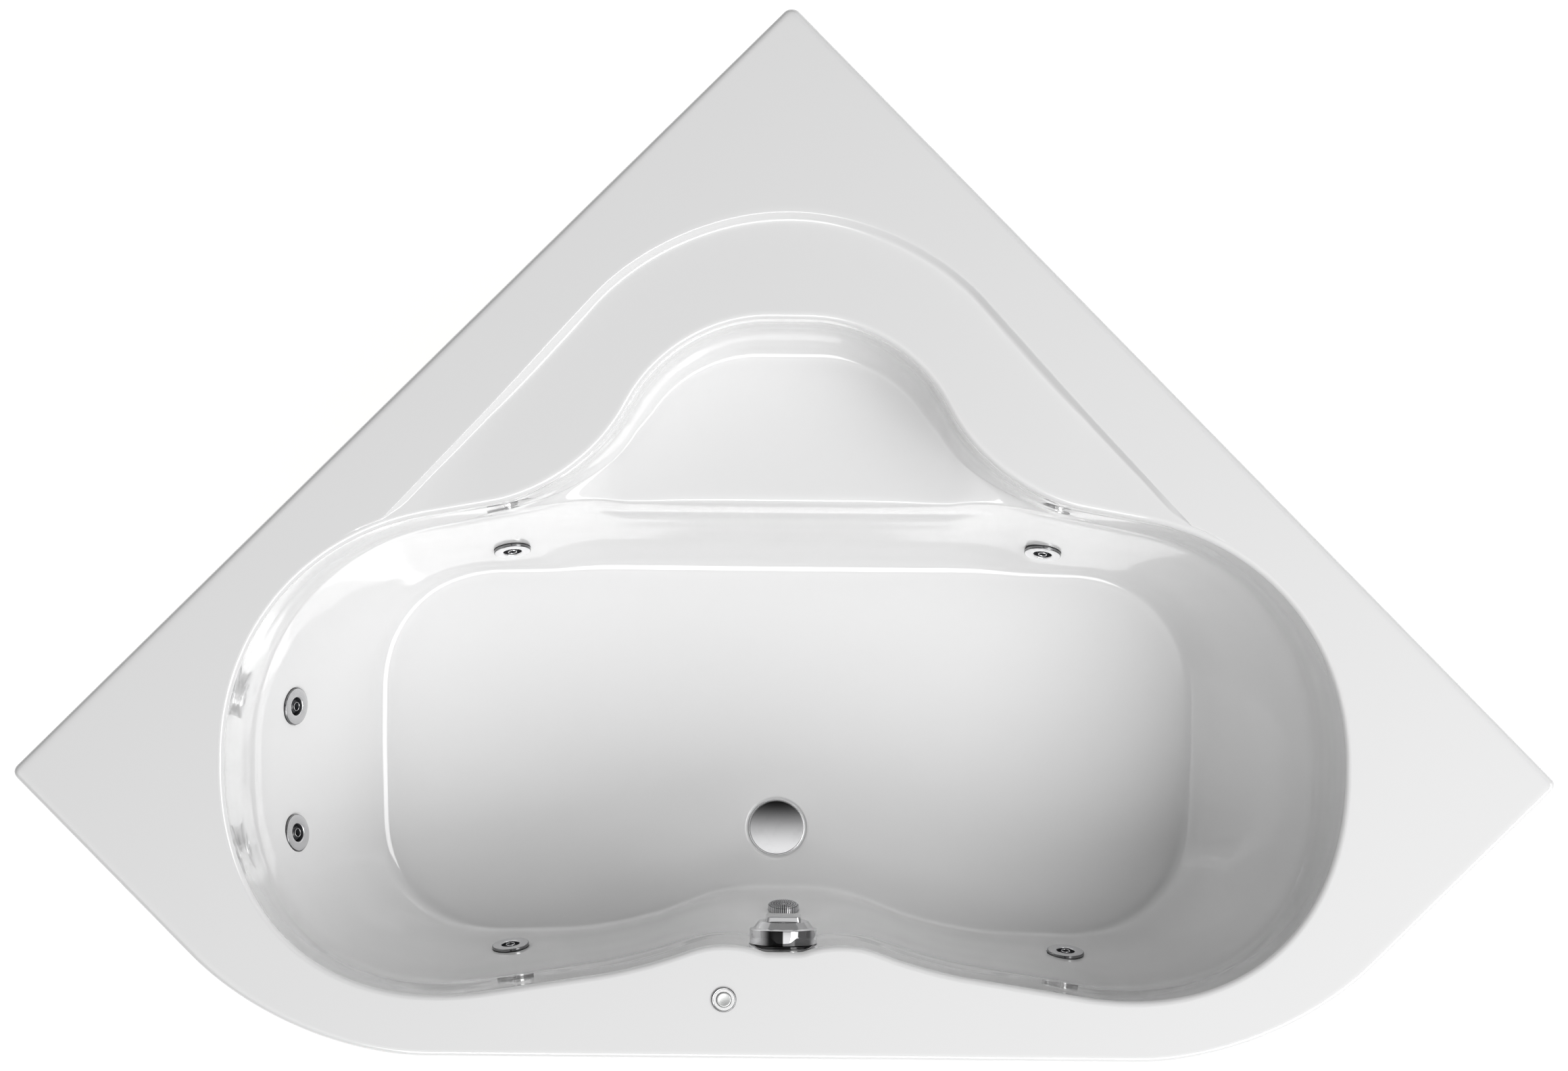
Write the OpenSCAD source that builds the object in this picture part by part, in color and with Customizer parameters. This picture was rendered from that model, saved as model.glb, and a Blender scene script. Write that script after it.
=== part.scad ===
// Corner bathtub with massage jets: a moulded acrylic shell on a steel frame, with its
// waste, overflow, jets and pump. It stands on five levelling feet, with the
// wall corner at +Y and the front edge at -Y.

/* [Plan of the deck] */
// Length of each wall side, from the corner to the tip
side_len = 1400; // [1340:10:1480]
// Distance from the line of the tips to the straight front edge
front_setback = 359; // [340:1:380]
// Width of the basin opening
opening_w = 1454; // [1420:2:1480]
// Depth of the opening in plan, from the front to the back of the seat
opening_d = 875; // [860:1:890]
// Distance from the line of the tips to the front of the opening
opening_front = 281; // [275:1:287]
// Radius of the rounded opening edge
edge_r = 10; // [8:0.5:12]
// Width of the corner shelf, across both ends of its arch
shelf_w = 1062; // [1050:2:1070]
// Distance from the line of the tips to the top of the shelf arch
shelf_back = 728; // [715:1:740]
// Drop from the deck to the shelf
shelf_drop = 11; // [8:0.5:14]
// Width in plan of the step between deck and shelf
step_w = 11; // [8:0.5:14]

/* [Basin] */
// Depth of the basin at the drain
basin_depth = 420; // [400:5:440]
// Fall of the floor from its edge to the drain
floor_fall = 7; // [4:1:10]
// Width of the floor
floor_w = 1050; // [1030:2:1070]
// Length in plan of the floor, from front to back
floor_d = 470; // [460:1:480]
// Distance from the line of the tips to the front of the floor
floor_front = 202; // [197:1:207]
// Width of the seat
seat_w = 600; // [580:2:616]
// Depth in plan of the seat
seat_d = 192; // [182:1:200]
// Distance from the line of the tips to the front edge of the seat
seat_front = 352; // [348:1:356]
// Depth of the seat below the deck
seat_depth = 170; // [150:5:190]
// Thickness of the backed acrylic
shell_t = 7; // [6:0.5:9]
// Height of the down-turned lip
lip_h = 34; // [28:1:40]

/* [Stand] */
// Height of the deck above the floor of the room
deck_h = 570; // [565:1:590]
// Thickness of the base board
board_t = 16; // [14:1:18]
// Height and width of a rail
rail_h = 30; // [28:1:32]
// Wall of a rail
rail_wall = 2.5; // [2:0.5:3]
// Radius of a foot's stud
stud_r = 6; // [5:0.5:7]
// Radius of a foot's pad
pad_r = 26; // [22:1:30]

/* [Fittings] */
// Radius of a jet's ring
jet_r = 24; // [22:0.5:26]
// Thickness of a jet's ring
jet_t = 5; // [4:0.5:6]
// Radius of a jet's threaded sleeve
sleeve_r = 17; // [16:0.5:18]
// Radius of a nozzle's ball
ball_r = 11.6; // [11:0.1:12.2]
// Height of the front and back jets above the edge of the floor
jet_h = 66; // [60:1:80]
// Height of the side jets above the edge of the floor
side_jet_h = 143; // [130:1:150]
// Radius of the drain cover
cover_r = 35; // [33:0.5:37]
// Radius of the waste's through hole
waste_r = 26; // [25:0.5:27]
// Radius of the waste knob's rosette
knob_r = 43; // [40:0.5:46]
// Depth of the waste knob's axis below the deck
knob_drop = 84; // [78:1:92]
// Radius of the suction strainer
strainer_r = 20; // [18:0.5:22]
// Height of the suction strainer above the edge of the floor
strainer_h = 84; // [78:1:96]
// Radius of the air button's bezel
bezel_r = 16; // [15:0.5:17]
// Radius of the air button
button_r = 9.6; // [9:0.1:10.2]
// Travel of the air button
button_travel = 3.5; // [2.5:0.5:4]

/* [Hidden] */
jet_names = ["back_right", "back_left", "side_back", "side_front", "front_left", "front_right"];
foot_names = ["front_left", "front_right", "back_left", "back_right", "seat"];
// Overrun of every cut
over = 1;
// Running clearance between parts that move on each other
run_gap = 0.3;
// Clearance of a piece in the hole that it passes through
pass_gap = 0.5;

// Outlines of half the bath, each from the back to the front of the axis
// A corner is [x, y, length of its rounding each way], as shares of the outline
corner_steps = [4, 4, 8, 3, 8, 3, 3, 2];
handle_share = 0.6;
opening_shares = [
    [0, 1], [0.184, 1, 0.138], [0.385, 0.745, 0.133], [1, 0.654, 0.373], [1, 0.321, 0.016],
    [1, -0.088, 0.465], [0.296, 0.039, 0.06], [0.117, 0.078, 0.045], [0.041, 0.063, 0.028], [0, 0.063]];
floor_shares = [
    [0, 1], [0.248, 1, 0.1], [0.495, 1, 0.1], [1, 0.99, 0.295], [1, 0.515, 0.04],
    [0.985, -0.02, 0.29], [0.41, -0.005, 0.15], [0.16, 0.1, 0.055], [0.07, 0.113, 0.03], [0, 0.113]];
seat_back_shares = [[0, 1], [0.407, 1, 0.25], [0.787, 0.21, 0.16], [1.03, 0]];
seat_front_shares = [[0, 0], [0.367, 0, 0.13], [0.783, 0, 0.2], [1.03, 0]];
arch_shares = [[0, 0], [0.286, 0, 0.28], [0.65, 0.513, 0.11], [1, 1]];
// Places along the wall side, and along the front, that face the corners of the opening
side_stop_shares = [0.333, 0.667];
side_run_shares = [0.06, 0.12];
front_corner_share = 0.18;
front_stop_shares = [0.333, 0.121, 0.045];
front_run_shares = [0.04, 0.02, 0.008];
tip_r = 12;
apex_r = 6;
apex_run_share = 0.9;
lip_r = 7;
junction = 12;

// The wall of the basin in section: how deep, and how far in from the edge
wall_depth_shares = [0.05, 0.14, 0.27, 0.36, 0.41, 0.47, 0.62, 0.77, 0.88, 0.96, 1];
wall_inset_shares = [0.01, 0.04, 0.09, 0.14, 0.17, 0.21, 0.39, 0.61, 0.79, 0.92, 1];
// The same rings where the seat lies between edge and floor
seat_wall_shares = [[0.06, 0.22], [0.24, 0.6], [0.6, 0.9], [1, 1]];
seat_lip_share = 0.08;
seat_front_depth_shares = [0.04, 0.38, 0.68, 0.86, 0.96, 1];
seat_front_inset_shares = [0.04, 0.24, 0.46, 0.66, 0.85, 1];
seat_rings = 4;
wall_rings = 11;
seat_weight_shares = [1, 1, 1, 1, 1, 1, 1, 1, 0.84, 0.5, 0.16];
floor_ring_shares = [[0.66, 0.15], [0.88, 0.6]];
step_shares = [[0, 1], [0.3, 0.86], [0.7, 0.14], [1, 0]];
shell_base = 3;
well_n = 8;
well_r = 50;

function unit(v) = v / norm(v);
function lerp(a, b, f) = a + (b - a) * f;
function xy(p) = [p[0], p[1]];

// Outline in real sizes from a table of shares
function sized(shares, half_w, depth, y0) = [for (p = shares)
    len(p) == 2 ? [p[0] * half_w, y0 + p[1] * depth]
                : [p[0] * half_w, y0 + p[1] * depth, p[2] * half_w]];

// One rounded corner, as a cubic curve from edge to edge
function bend(a, c, b, n) =
    let (p0 = xy(c) - unit(xy(c) - a) * c[2], p3 = xy(c) + unit(b - xy(c)) * c[2],
         p1 = lerp(p0, xy(c), handle_share), p2 = lerp(p3, xy(c), handle_share))
    [for (i = [0:n]) let (t = i / n, s = 1 - t)
        s * s * s * p0 + 3 * s * s * t * p1 + 3 * s * t * t * p2 + t * t * t * p3];

function half_ring(pts, steps = corner_steps) = [
    xy(pts[0]),
    for (j = [1:len(pts) - 2]) each bend(xy(pts[j - 1]), pts[j], xy(pts[j + 1]), steps[j - 1]),
    xy(pts[len(pts) - 1])];

half_n = len(half_ring(sized(opening_shares, opening_w / 2, opening_d, -opening_front)));
ring_n = 2 * half_n - 2;

// Outline closed over both halves
function closed(half) = [
    for (p = half) p,
    for (i = [half_n - 2:-1:1]) [-half[i][0], each [for (j = [1:len(half[i]) - 1]) half[i][j]]]];

// Offset of a closed outline, outwards where d is positive
function offset_ring(ring, d) = [for (i = [0:ring_n - 1])
    let (a = ring[(i + ring_n - 1) % ring_n], b = ring[(i + 1) % ring_n], t = unit(xy(b) - xy(a)))
    xy(ring[i]) + [-t[1], t[0]] * d];

opening_ring = closed(half_ring(sized(opening_shares, opening_w / 2, opening_d, -opening_front)));
floor_ring = closed(half_ring(sized(floor_shares, floor_w / 2, floor_d, -floor_front)));
seat_steps = [4, 4];
seat_back_half = half_ring(sized(seat_back_shares, seat_w / 2, seat_d, seat_front), seat_steps);
seat_front_half = half_ring(sized(seat_front_shares, seat_w / 2, seat_d, seat_front), seat_steps);

// Outer edge of the deck
half_side = side_len * sin(45);
deck_corners = [
    [0, half_side - apex_r], [apex_r, half_side - apex_r, apex_r * apex_run_share],
    for (j = [0:1]) [half_side * side_stop_shares[j], half_side * (1 - side_stop_shares[j]),
        half_side * side_run_shares[j]],
    [half_side, 0, tip_r],
    [half_side - front_setback, -front_setback, half_side * front_corner_share],
    for (j = [0:2]) [half_side * front_stop_shares[j], -front_setback, half_side * front_run_shares[j]],
    [0, -front_setback]];
deck_ring = closed(half_ring(deck_corners));

// Arch of the shelf, which runs into the opening at its junction
edge_ring = offset_ring(opening_ring, edge_r);
land_ring = offset_ring(opening_ring, edge_r + step_w / 2);
arch_half = half_ring(sized(arch_shares, shelf_w / 2,
    land_ring[junction][1] - shelf_back, shelf_back), seat_steps);
arch_last = len(arch_half) - 2;
arch_free = [
    for (i = [0:arch_last]) arch_half[i],
    for (i = [arch_last + 1:junction])
        lerp(arch_half[arch_last], land_ring[junction], (i - arch_last) / (junction - arch_last)),
    for (i = [junction + 1:half_n - 1]) land_ring[i]];
arch_ring = closed(arch_free);
drop_run = 3;
function drop_at(i) = let (j = i < half_n ? i : ring_n - i,
    f = max(0, min(1, (junction + 1 - j) / drop_run))) shelf_drop * f * f * (3 - 2 * f);

function half_index(i) = i < half_n ? i : ring_n - i;
function side_of(i) = i < half_n ? 1 : -1;
function seat_point(half, i) = let (j = min(half_index(i), len(half) - 1)) [side_of(i) * half[j][0], half[j][1]];
function seat_weight(i) = let (j = half_index(i)) j < len(seat_weight_shares) ? seat_weight_shares[j] : 0;

wall_h = basin_depth - floor_fall;
function up(p, z) = [p[0], p[1], z];

// Point of the wall at station i on ring k, counted from the edge down
function plain_wall(i, k) =
    up(lerp(opening_ring[i], floor_ring[i], wall_inset_shares[k - 1]), -wall_h * wall_depth_shares[k - 1]);
function seat_wall(i, k) =
    let (back = seat_point(seat_back_half, i), front = seat_point(seat_front_half, i))
    k <= seat_rings
    ? up(lerp(opening_ring[i], back, seat_wall_shares[k - 1][0]), -seat_depth * seat_wall_shares[k - 1][1])
    : k == seat_rings + 1
    ? up(lerp(front, back, seat_lip_share), -seat_depth)
    : let (j = k - seat_rings - 2)
      up(lerp(front, floor_ring[i], seat_front_inset_shares[j]),
         -lerp(seat_depth, wall_h, seat_front_depth_shares[j]));
function wall_point(i, k) = lerp(plain_wall(i, k), seat_wall(i, k), seat_weight(i));

drain_x = -10;
drain_y = -70;
function ring_at(list, z) = [for (p = list) up(p, z)];

// Rings of the visible face, from the drain out to the foot of the lip
top_rings = [
    for (f = floor_ring_shares) [for (p = floor_ring)
        up(lerp([drain_x, drain_y], p, f[0]), -lerp(basin_depth, wall_h, f[1]))],
    for (k = [wall_rings:-1:1]) [for (i = [0:ring_n - 1]) wall_point(i, k)],
    for (f = [[0, 1], [0.12, 0.5], [0.5, 0.12], [1, 0]])
        [for (i = [0:ring_n - 1])
            up(lerp(opening_ring[i], edge_ring[i], f[0]), -drop_at(i) - edge_r * f[1])],
    for (s = step_shares)
        [for (i = [0:ring_n - 1])
            let (gap = norm(arch_ring[i] - edge_ring[i]), foot = min(step_w, gap / 2) / gap)
            up(lerp(lerp(arch_ring[i], edge_ring[i], foot), arch_ring[i], s[0]), -drop_at(i) * s[1])],
    for (f = [[1, 0], [0.3, 0.3], [0, 1]]) ring_at(offset_ring(deck_ring, -lip_r * f[0]), -lip_r * f[1]),
    ring_at(deck_ring, -lip_h)];

// Rings of the hidden face, from the foot of the lip back to the drain
base_z = -basin_depth - shell_t - shell_base;
wall_out_shares = [0.96, 0.98, 0.85, 0.5, 0.25, 0.8, 0.95, 0.9, 0.75, 0.4];
wall_down_shares = [0.2, 0.3, 0.6, 1, 1, 0.5, 0.3, 0.4, 0.6, 0.9];
under_edge_shares = [1.35, 1.05];
function outward(i, k) =
    let (a = wall_point((i + ring_n - 1) % ring_n, k), b = wall_point((i + 1) % ring_n, k),
         t = unit(xy(b) - xy(a)))
    [-t[1], t[0]];
function under_wall(i, k) =
    let (p = wall_point(i, k), q = outward(i, k) * shell_t * wall_out_shares[k - 1])
    [p[0] + q[0], p[1] + q[1],
     min(-drop_at(i) - shell_t - edge_r * (1 + wall_depth_shares[k - 1]),
         max(base_z, p[2] - shell_t * wall_down_shares[k - 1]))];
under_rings = [
    ring_at(offset_ring(deck_ring, -shell_t), -lip_h),
    ring_at(offset_ring(deck_ring, -shell_t), -shell_t),
    ring_at(arch_ring, -shell_t),
    [for (i = [0:ring_n - 1])
        up(lerp(opening_ring[i], edge_ring[i], under_edge_shares[0]), -drop_at(i) - shell_t)],
    [for (i = [0:ring_n - 1])
        up(lerp(opening_ring[i], edge_ring[i], under_edge_shares[1]), -drop_at(i) - shell_t - edge_r / 2)],
    for (k = [1:wall_rings - 1]) [for (i = [0:ring_n - 1]) under_wall(i, k)],
    ring_at(floor_ring, base_z)];

rings = concat(top_rings, under_rings);
ring_count = len(rings);

module shell_solid() {
    well = [for (j = [0:well_n - 1])
        let (a = 90 - (j + 0.5) * 360 / well_n) [drain_x + well_r * cos(a), drain_y + well_r * sin(a)]];
    points = concat([for (r = rings) each r], ring_at(well, -basin_depth), ring_at(well, base_z));
    span = ring_n / well_n;
    function at(i, k) = k * ring_n + i % ring_n;
    function inner(j, k) = ring_count * ring_n + k * well_n + j % well_n;
    // Fan of faces from one corner of the well to its share of the ring
    function fan(k, r) = [for (j = [0:well_n - 1]) each [
        for (i = [0:span - 1]) [inner(j, k), at(j * span + i, r), at(j * span + i + 1, r)],
        [inner(j, k), at(j * span + span, r), inner(j + 1, k)]]];
    function flip(faces) = [for (f = faces) [f[0], f[2], f[1]]];
    faces = concat(
        fan(0, 0),
        [[for (j = [0:well_n - 1]) inner(j, 0)]],
        [for (k = [0:ring_count - 2]) for (i = [0:ring_n - 1]) each [
            [at(i, k), at(i, k + 1), at(i + 1, k + 1)],
            [at(i, k), at(i + 1, k + 1), at(i + 1, k)]]],
        flip(fan(1, ring_count - 1)),
        [[for (j = [well_n - 1:-1:0]) inner(j, 1)]]);
    polyhedron(points, faces, convexity = 12);
}

// Places of the fittings on the wall: found on the faces of the wall itself
wall_grid = [
    [for (p = opening_ring) up(p, -edge_r)],
    for (k = [1:wall_rings]) [for (i = [0:ring_n - 1]) wall_point(i, k)]];
basin_mid = [0, floor_d / 2 - floor_front];
function cross2(a, b) = a[0] * b[1] - a[1] * b[0];
function flat_view(p, t) = [p[0] * t[0] + p[1] * t[1], p[2]];
// Point of one triangle that lies over the spot q, or undef
function on_triangle(q, tri, t) =
    let (a = flat_view(tri[0], t), b = flat_view(tri[1], t), c = flat_view(tri[2], t),
         area = cross2(b - a, c - a), v = cross2(q - a, c - a) / area, w = cross2(b - a, q - a) / area)
    v >= 0 && w >= 0 && v + w <= 1 ? lerp(tri[0], tri[1], v) + (tri[2] - tri[0]) * w : undef;
function wall_spots(q, d) =
    let (t = [-d[1], d[0]])
    [for (k = [0:wall_rings - 1], i = [0:ring_n - 1])
        let (a = wall_grid[k][i], b = wall_grid[k][(i + 1) % ring_n],
             c = wall_grid[k + 1][i], e = wall_grid[k + 1][(i + 1) % ring_n])
        if ((xy(a) - basin_mid) * d > 0 && q[1] <= max(a[2], b[2]) && q[1] >= min(c[2], e[2]))
            for (tri = [[a, e, c], [a, b, e]]) let (p = on_triangle(q, tri, t)) if (p != undef) p];
function wall_at(q, d) = wall_spots(q, d)[0];
fit_step = 8;
// Seat of a fitting: its point and the direction into the basin
function seat_at(along, z, d) =
    let (q = [along, z], p = wall_at(q, d), a = wall_at(q + [fit_step, 0], d) - wall_at(q - [fit_step, 0], d),
         b = wall_at(q + [0, fit_step], d) - wall_at(q - [0, fit_step], d), n = unit(cross(a, b)))
    [p, (xy(n) * d < 0 ? n : -n)];

seat_sink = 0.4;
seat_t = shell_t - over;
to_back = [0, 1];
to_front = [0, -1];
to_left = [-1, 0];
jet_heights = [jet_h, jet_h, side_jet_h, side_jet_h, jet_h, jet_h];
jet_along_shares = [-0.458, 0.491, -0.1155, 0.11, -0.487, 0.505];
jet_sides = [to_back, to_back, to_left, to_left, to_front, to_front];
jet_seats = [for (j = [0:5])
    seat_at(jet_along_shares[j] * opening_w / 2, jet_heights[j] - wall_h, jet_sides[j])];
knob_seat = seat_at(0, -knob_drop, to_front);
strainer_seat = seat_at(0, strainer_h - wall_h, to_front);

// Stands its children on a seat, with +Z into the basin
module on_seat(s) {
    n = s[1];
    translate(s[0]) rotate([0, acos(n[2]), atan2(n[1], n[0])]) children();
}
// A solid of revolution that opens the wall at a seat: flat recesses on both
// faces, and the hole between them
module seat_cut(s, r, hole_r) {
    on_seat(s) rotate_extrude() polygon([
        [0, -cut_reach], [r + over, -cut_reach], [r + over, -seat_t - seat_sink],
        [hole_r, -seat_t - seat_sink], [hole_r, -seat_sink],
        [r + over, -seat_sink], [r + over, cut_reach], [0, cut_reach]]);
}
cut_reach = 18;
$fn = 48;
mid_y = (half_side - apex_r - front_setback) / 2;

// The modules below work in the frame of the deck, with its top at zero
module placed() {
    translate([0, -mid_y, deck_h]) children();
}
module aim(v) {
    rotate([0, acos(v[2] / norm(v)), atan2(v[1], v[0])]) children();
}
module rod(a, b, r) {
    translate(a) aim(b - a) cylinder(h = norm(b - a), r = r);
}
// Path through a list of points, with each corner rounded over the length cut
bend_steps = 4;
function rounded(pts, cut) = [
    pts[0],
    for (i = [1:1:len(pts) - 2])
        let (p = pts[i], back = pts[i - 1] - p, ahead = pts[i + 1] - p,
             a = p + unit(back) * min(cut, norm(back) / 2.2), b = p + unit(ahead) * min(cut, norm(ahead) / 2.2))
        each [for (k = [0:bend_steps]) let (f = k / bend_steps) lerp(lerp(a, p, f), lerp(p, b, f), f)],
    pts[len(pts) - 1]];
function carried(n, t) = unit(n - (n * t) * t);
// Tube along a path, swept as one closed skin
module run(pts, r, sides = 12, cut = 40) {
    path = rounded(pts, cut);
    last = len(path) - 1;
    dirs = [for (i = [0:last]) i == 0 ? unit(path[1] - path[0])
        : i == last ? unit(path[last] - path[last - 1])
        : unit(unit(path[i + 1] - path[i]) + unit(path[i] - path[i - 1]))];
    start = unit(cross(dirs[0], [dirs[0][1], dirs[0][2], -dirs[0][0]]));
    sides_at = [for (i = 0, n = start; i <= last; i = i + 1, n = i <= last ? carried(n, dirs[i]) : n) n];
    points = [for (i = [0:last], k = [0:sides - 1])
        path[i] + r * (cos(360 * k / sides) * sides_at[i] + sin(360 * k / sides) * cross(dirs[i], sides_at[i]))];
    faces = [
        [for (k = [0:sides - 1]) k],
        [for (k = [sides - 1:-1:0]) last * sides + k],
        for (i = [0:last - 1], k = [0:sides - 1])
            let (a = i * sides + k, b = i * sides + (k + 1) % sides)
            each [[a, a + sides, b + sides], [a, b + sides, b]]];
    polyhedron(points, faces, convexity = 6);
}
module tube(h, r, bore) {
    difference() {
        cylinder(h = h, r = r);
        translate([0, 0, -over]) cylinder(h = h + 2 * over, r = bore);
    }
}
module hex(h, r, bore) {
    difference() {
        cylinder(h = h, r = r, $fn = 6);
        translate([0, 0, -over]) cylinder(h = h + 2 * over, r = bore);
    }
}
function on_axis(s, along) = s[0] + s[1] * along;
// Level direction along the wall at a seat
function level(s) = let (n = s[1]) unit([-n[1], n[0], 0]);

// Waste
recess_h = 3;
recess_r = cover_r + 8;
drain_top = -basin_depth - recess_h;
// Button
button_x = -75;
button_y = -283;
button_bore = bezel_r - 3.5;

module bath_shell() {
    color("white") placed() difference() {
        shell_solid();
        for (s = jet_seats) seat_cut(s, jet_r, sleeve_r + pass_gap);
        seat_cut(knob_seat, knob_r, overflow_r + pass_gap);
        seat_cut(strainer_seat, strainer_r, sleeve_r + pass_gap);
        translate([drain_x, drain_y, drain_top]) rotate_extrude() polygon([
            [0, -cut_reach], [waste_r + pass_gap, -cut_reach], [waste_r + pass_gap, 0],
            [recess_r, 0], [recess_r, cut_reach], [0, cut_reach]]);
        translate([button_x, button_y, -cut_reach]) rotate_extrude() polygon([
            [0, 0], [button_bore + pass_gap, 0], [button_bore + pass_gap, 2 * cut_reach], [0, 2 * cut_reach]]);
    }
}

// Boards bonded under the shell
board_shares = [0.94, 0.87];
board_hole_r = 50;
board_outline = [for (p = floor_ring)
    [p[0] * board_shares[0], basin_mid[1] + (p[1] - basin_mid[1]) * board_shares[1]]];
rail_top = base_z - board_t;
rail_bottom = rail_top - rail_h;
screw_r = 3;
screw_x_share = 0.5;
screw_sink = 12;
front_rail_y = -150;
back_rail_y = 200;
rail_left = -460;
rail_right = 560;
foot_x = 430;
leg_y = 440;
leg_r = 15;
leg_bore = 12;
leg_plate = 84;
leg_plate_t = 4;
leg_foot = 92;
leg_screw_share = 0.36;
seat_board_share = 0.8;
seat_board_t = board_t;
seat_under = -seat_depth - shell_t;
rail_screws = [for (y = [front_rail_y, back_rail_y], x = [-1, 1]) [x * screw_x_share * foot_x * 1.1, y]];
leg_screws = [for (x = [-1, 1], y = [-1, 1]) [x * leg_screw_share * leg_plate, leg_y + y * leg_screw_share * leg_plate]];

module base_board() {
    color("burlywood") placed() translate([0, 0, rail_top]) difference() {
        linear_extrude(board_t) polygon(board_outline);
        translate([drain_x, drain_y, -over]) cylinder(h = board_t + 2 * over, r = board_hole_r);
        for (p = rail_screws) translate([p[0], p[1], -over]) cylinder(h = screw_sink + over, r = screw_r + run_gap);
    }
}
module seat_board() {
    half = [for (j = [0:8]) seat_back_half[j]];
    mid = seat_front + seat_d / 2;
    outline = [
        for (p = half) [p[0] * seat_board_share, mid + (p[1] - mid) * seat_board_share],
        for (j = [8:-1:1]) [-half[j][0] * seat_board_share, mid + (half[j][1] - mid) * seat_board_share]];
    color("burlywood") placed() translate([0, 0, seat_under - seat_board_t]) difference() {
        linear_extrude(seat_board_t) polygon(outline);
        for (p = leg_screws) translate([p[0], p[1], -over]) cylinder(h = screw_sink + over, r = screw_r + run_gap);
    }
}

// Square steel rail along X
module rail(y) {
    color("silver") placed() difference() {
        translate([rail_left, y - rail_h / 2, rail_bottom]) cube([rail_right - rail_left, rail_h, rail_h]);
        translate([rail_left - over, y - rail_h / 2 + rail_wall, rail_bottom + rail_wall])
            cube([rail_right - rail_left + 2 * over, rail_h - 2 * rail_wall, rail_h - 2 * rail_wall]);
        for (x = [-foot_x, foot_x]) translate([x, y, rail_bottom - over])
            cylinder(h = rail_wall + 2 * over, r = stud_r + run_gap);
        for (p = rail_screws) if (p[1] == y) translate([p[0], y, rail_bottom - over])
            cylinder(h = rail_h + 2 * over, r = screw_r + run_gap);
    }
}
module front_rail() { rail(front_rail_y); }
module back_rail() { rail(back_rail_y); }

module screw(length) {
    head_h = 4;
    translate([0, 0, -head_h]) cylinder(h = head_h, r = 2 * screw_r, $fn = 6);
    cylinder(h = length, r = screw_r);
}
module frame_screws() {
    color("gainsboro") placed() {
        for (p = rail_screws) translate([p[0], p[1], rail_bottom]) screw(rail_h + screw_sink - over);
        for (p = leg_screws) translate([p[0], p[1], seat_under - seat_board_t - leg_plate_t])
            screw(leg_plate_t + screw_sink - over);
    }
}

// Leg under the seat: plate, tube and the nut welded in its foot
module seat_leg() {
    top = seat_under - seat_board_t;
    leg_h = top + deck_h - leg_foot;
    color("silver") placed() translate([0, leg_y, top]) difference() {
        union() {
            translate([-leg_plate / 2, -leg_plate / 2, -leg_plate_t]) cube([leg_plate, leg_plate, leg_plate_t]);
            translate([0, 0, -leg_h]) cylinder(h = leg_h, r = leg_r);
            translate([0, 0, -leg_plate_t - 2 * leg_plate_t]) cylinder(h = 2 * leg_plate_t, r1 = leg_r, r2 = leg_r + 2 * leg_plate_t);
        }
        translate([0, 0, -leg_h + 3 * leg_plate_t]) cylinder(h = leg_h, r = leg_bore);
        translate([0, 0, -leg_h - over]) cylinder(h = leg_h, r = stud_r + run_gap);
        for (p = leg_screws) translate([p[0], p[1] - leg_y, -leg_plate_t - over])
            cylinder(h = leg_plate_t + 2 * over, r = screw_r + run_gap);
    }
}

// Levelling feet
foot_places = [[-foot_x, front_rail_y], [foot_x, front_rail_y], [-foot_x, back_rail_y], [foot_x, back_rail_y], [0, leg_y]];
foot_seats = [for (j = [0:4]) j < 4 ? rail_bottom : leg_foot - deck_h];
pad_h = 9;
stud_in = 14;
leg_stud_in = 40;
nut_h = 7;
nut_r = 1.9 * stud_r;
module foot(j) {
    color("dimgray") placed() translate([foot_places[j][0], foot_places[j][1], -deck_h]) {
        rotate_extrude() polygon([
            [0, 0], [pad_r - 2, 0], [pad_r, 2], [pad_r, pad_h / 2], [2.2 * stud_r, pad_h], [2 * stud_r, 1.5 * pad_h],
            [0, 1.5 * pad_h]]);
        cylinder(h = foot_seats[j] + deck_h + (j < 4 ? stud_in : leg_stud_in), r = stud_r);
    }
}
module foot_nuts() {
    color("gainsboro") placed() for (j = [0:4])
        translate([foot_places[j][0], foot_places[j][1], foot_seats[j] - nut_h]) hex(nut_h, nut_r, stud_r + run_gap);
}

// Wall anchor: a channel that the lip stands in, with a plate for the wall's screws
anchor_w = 70;
anchor_t = 3;
anchor_drop = 58;
anchor_share = 0.5;
anchor_hole_r = 3.5;
anchor_hole_y = 20;
anchor_up = 20;
module wall_anchor(side) {
    color("silver") placed() translate([side * half_side * anchor_share, half_side * (1 - anchor_share), 0])
        rotate([0, 0, side > 0 ? 45 : 135]) difference() {
            translate([0, anchor_w / 2, 0]) rotate([90, 0, 0]) linear_extrude(anchor_w) polygon([
                [-pass_gap, -lip_h], [-pass_gap, -lip_h - anchor_drop], [-pass_gap - anchor_t, -lip_h - anchor_drop],
                [-pass_gap - anchor_t, -lip_h - anchor_t], [-shell_t - anchor_t, -lip_h - anchor_t],
                [-shell_t - anchor_t, anchor_up - lip_h], [-shell_t, anchor_up - lip_h], [-shell_t, -lip_h]]);
            for (y = [-anchor_hole_y, anchor_hole_y])
                translate([over, y, -lip_h - anchor_drop / 2]) rotate([0, -90, 0])
                    cylinder(h = anchor_t + 2 * over, r = anchor_hole_r);
        }
}

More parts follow.
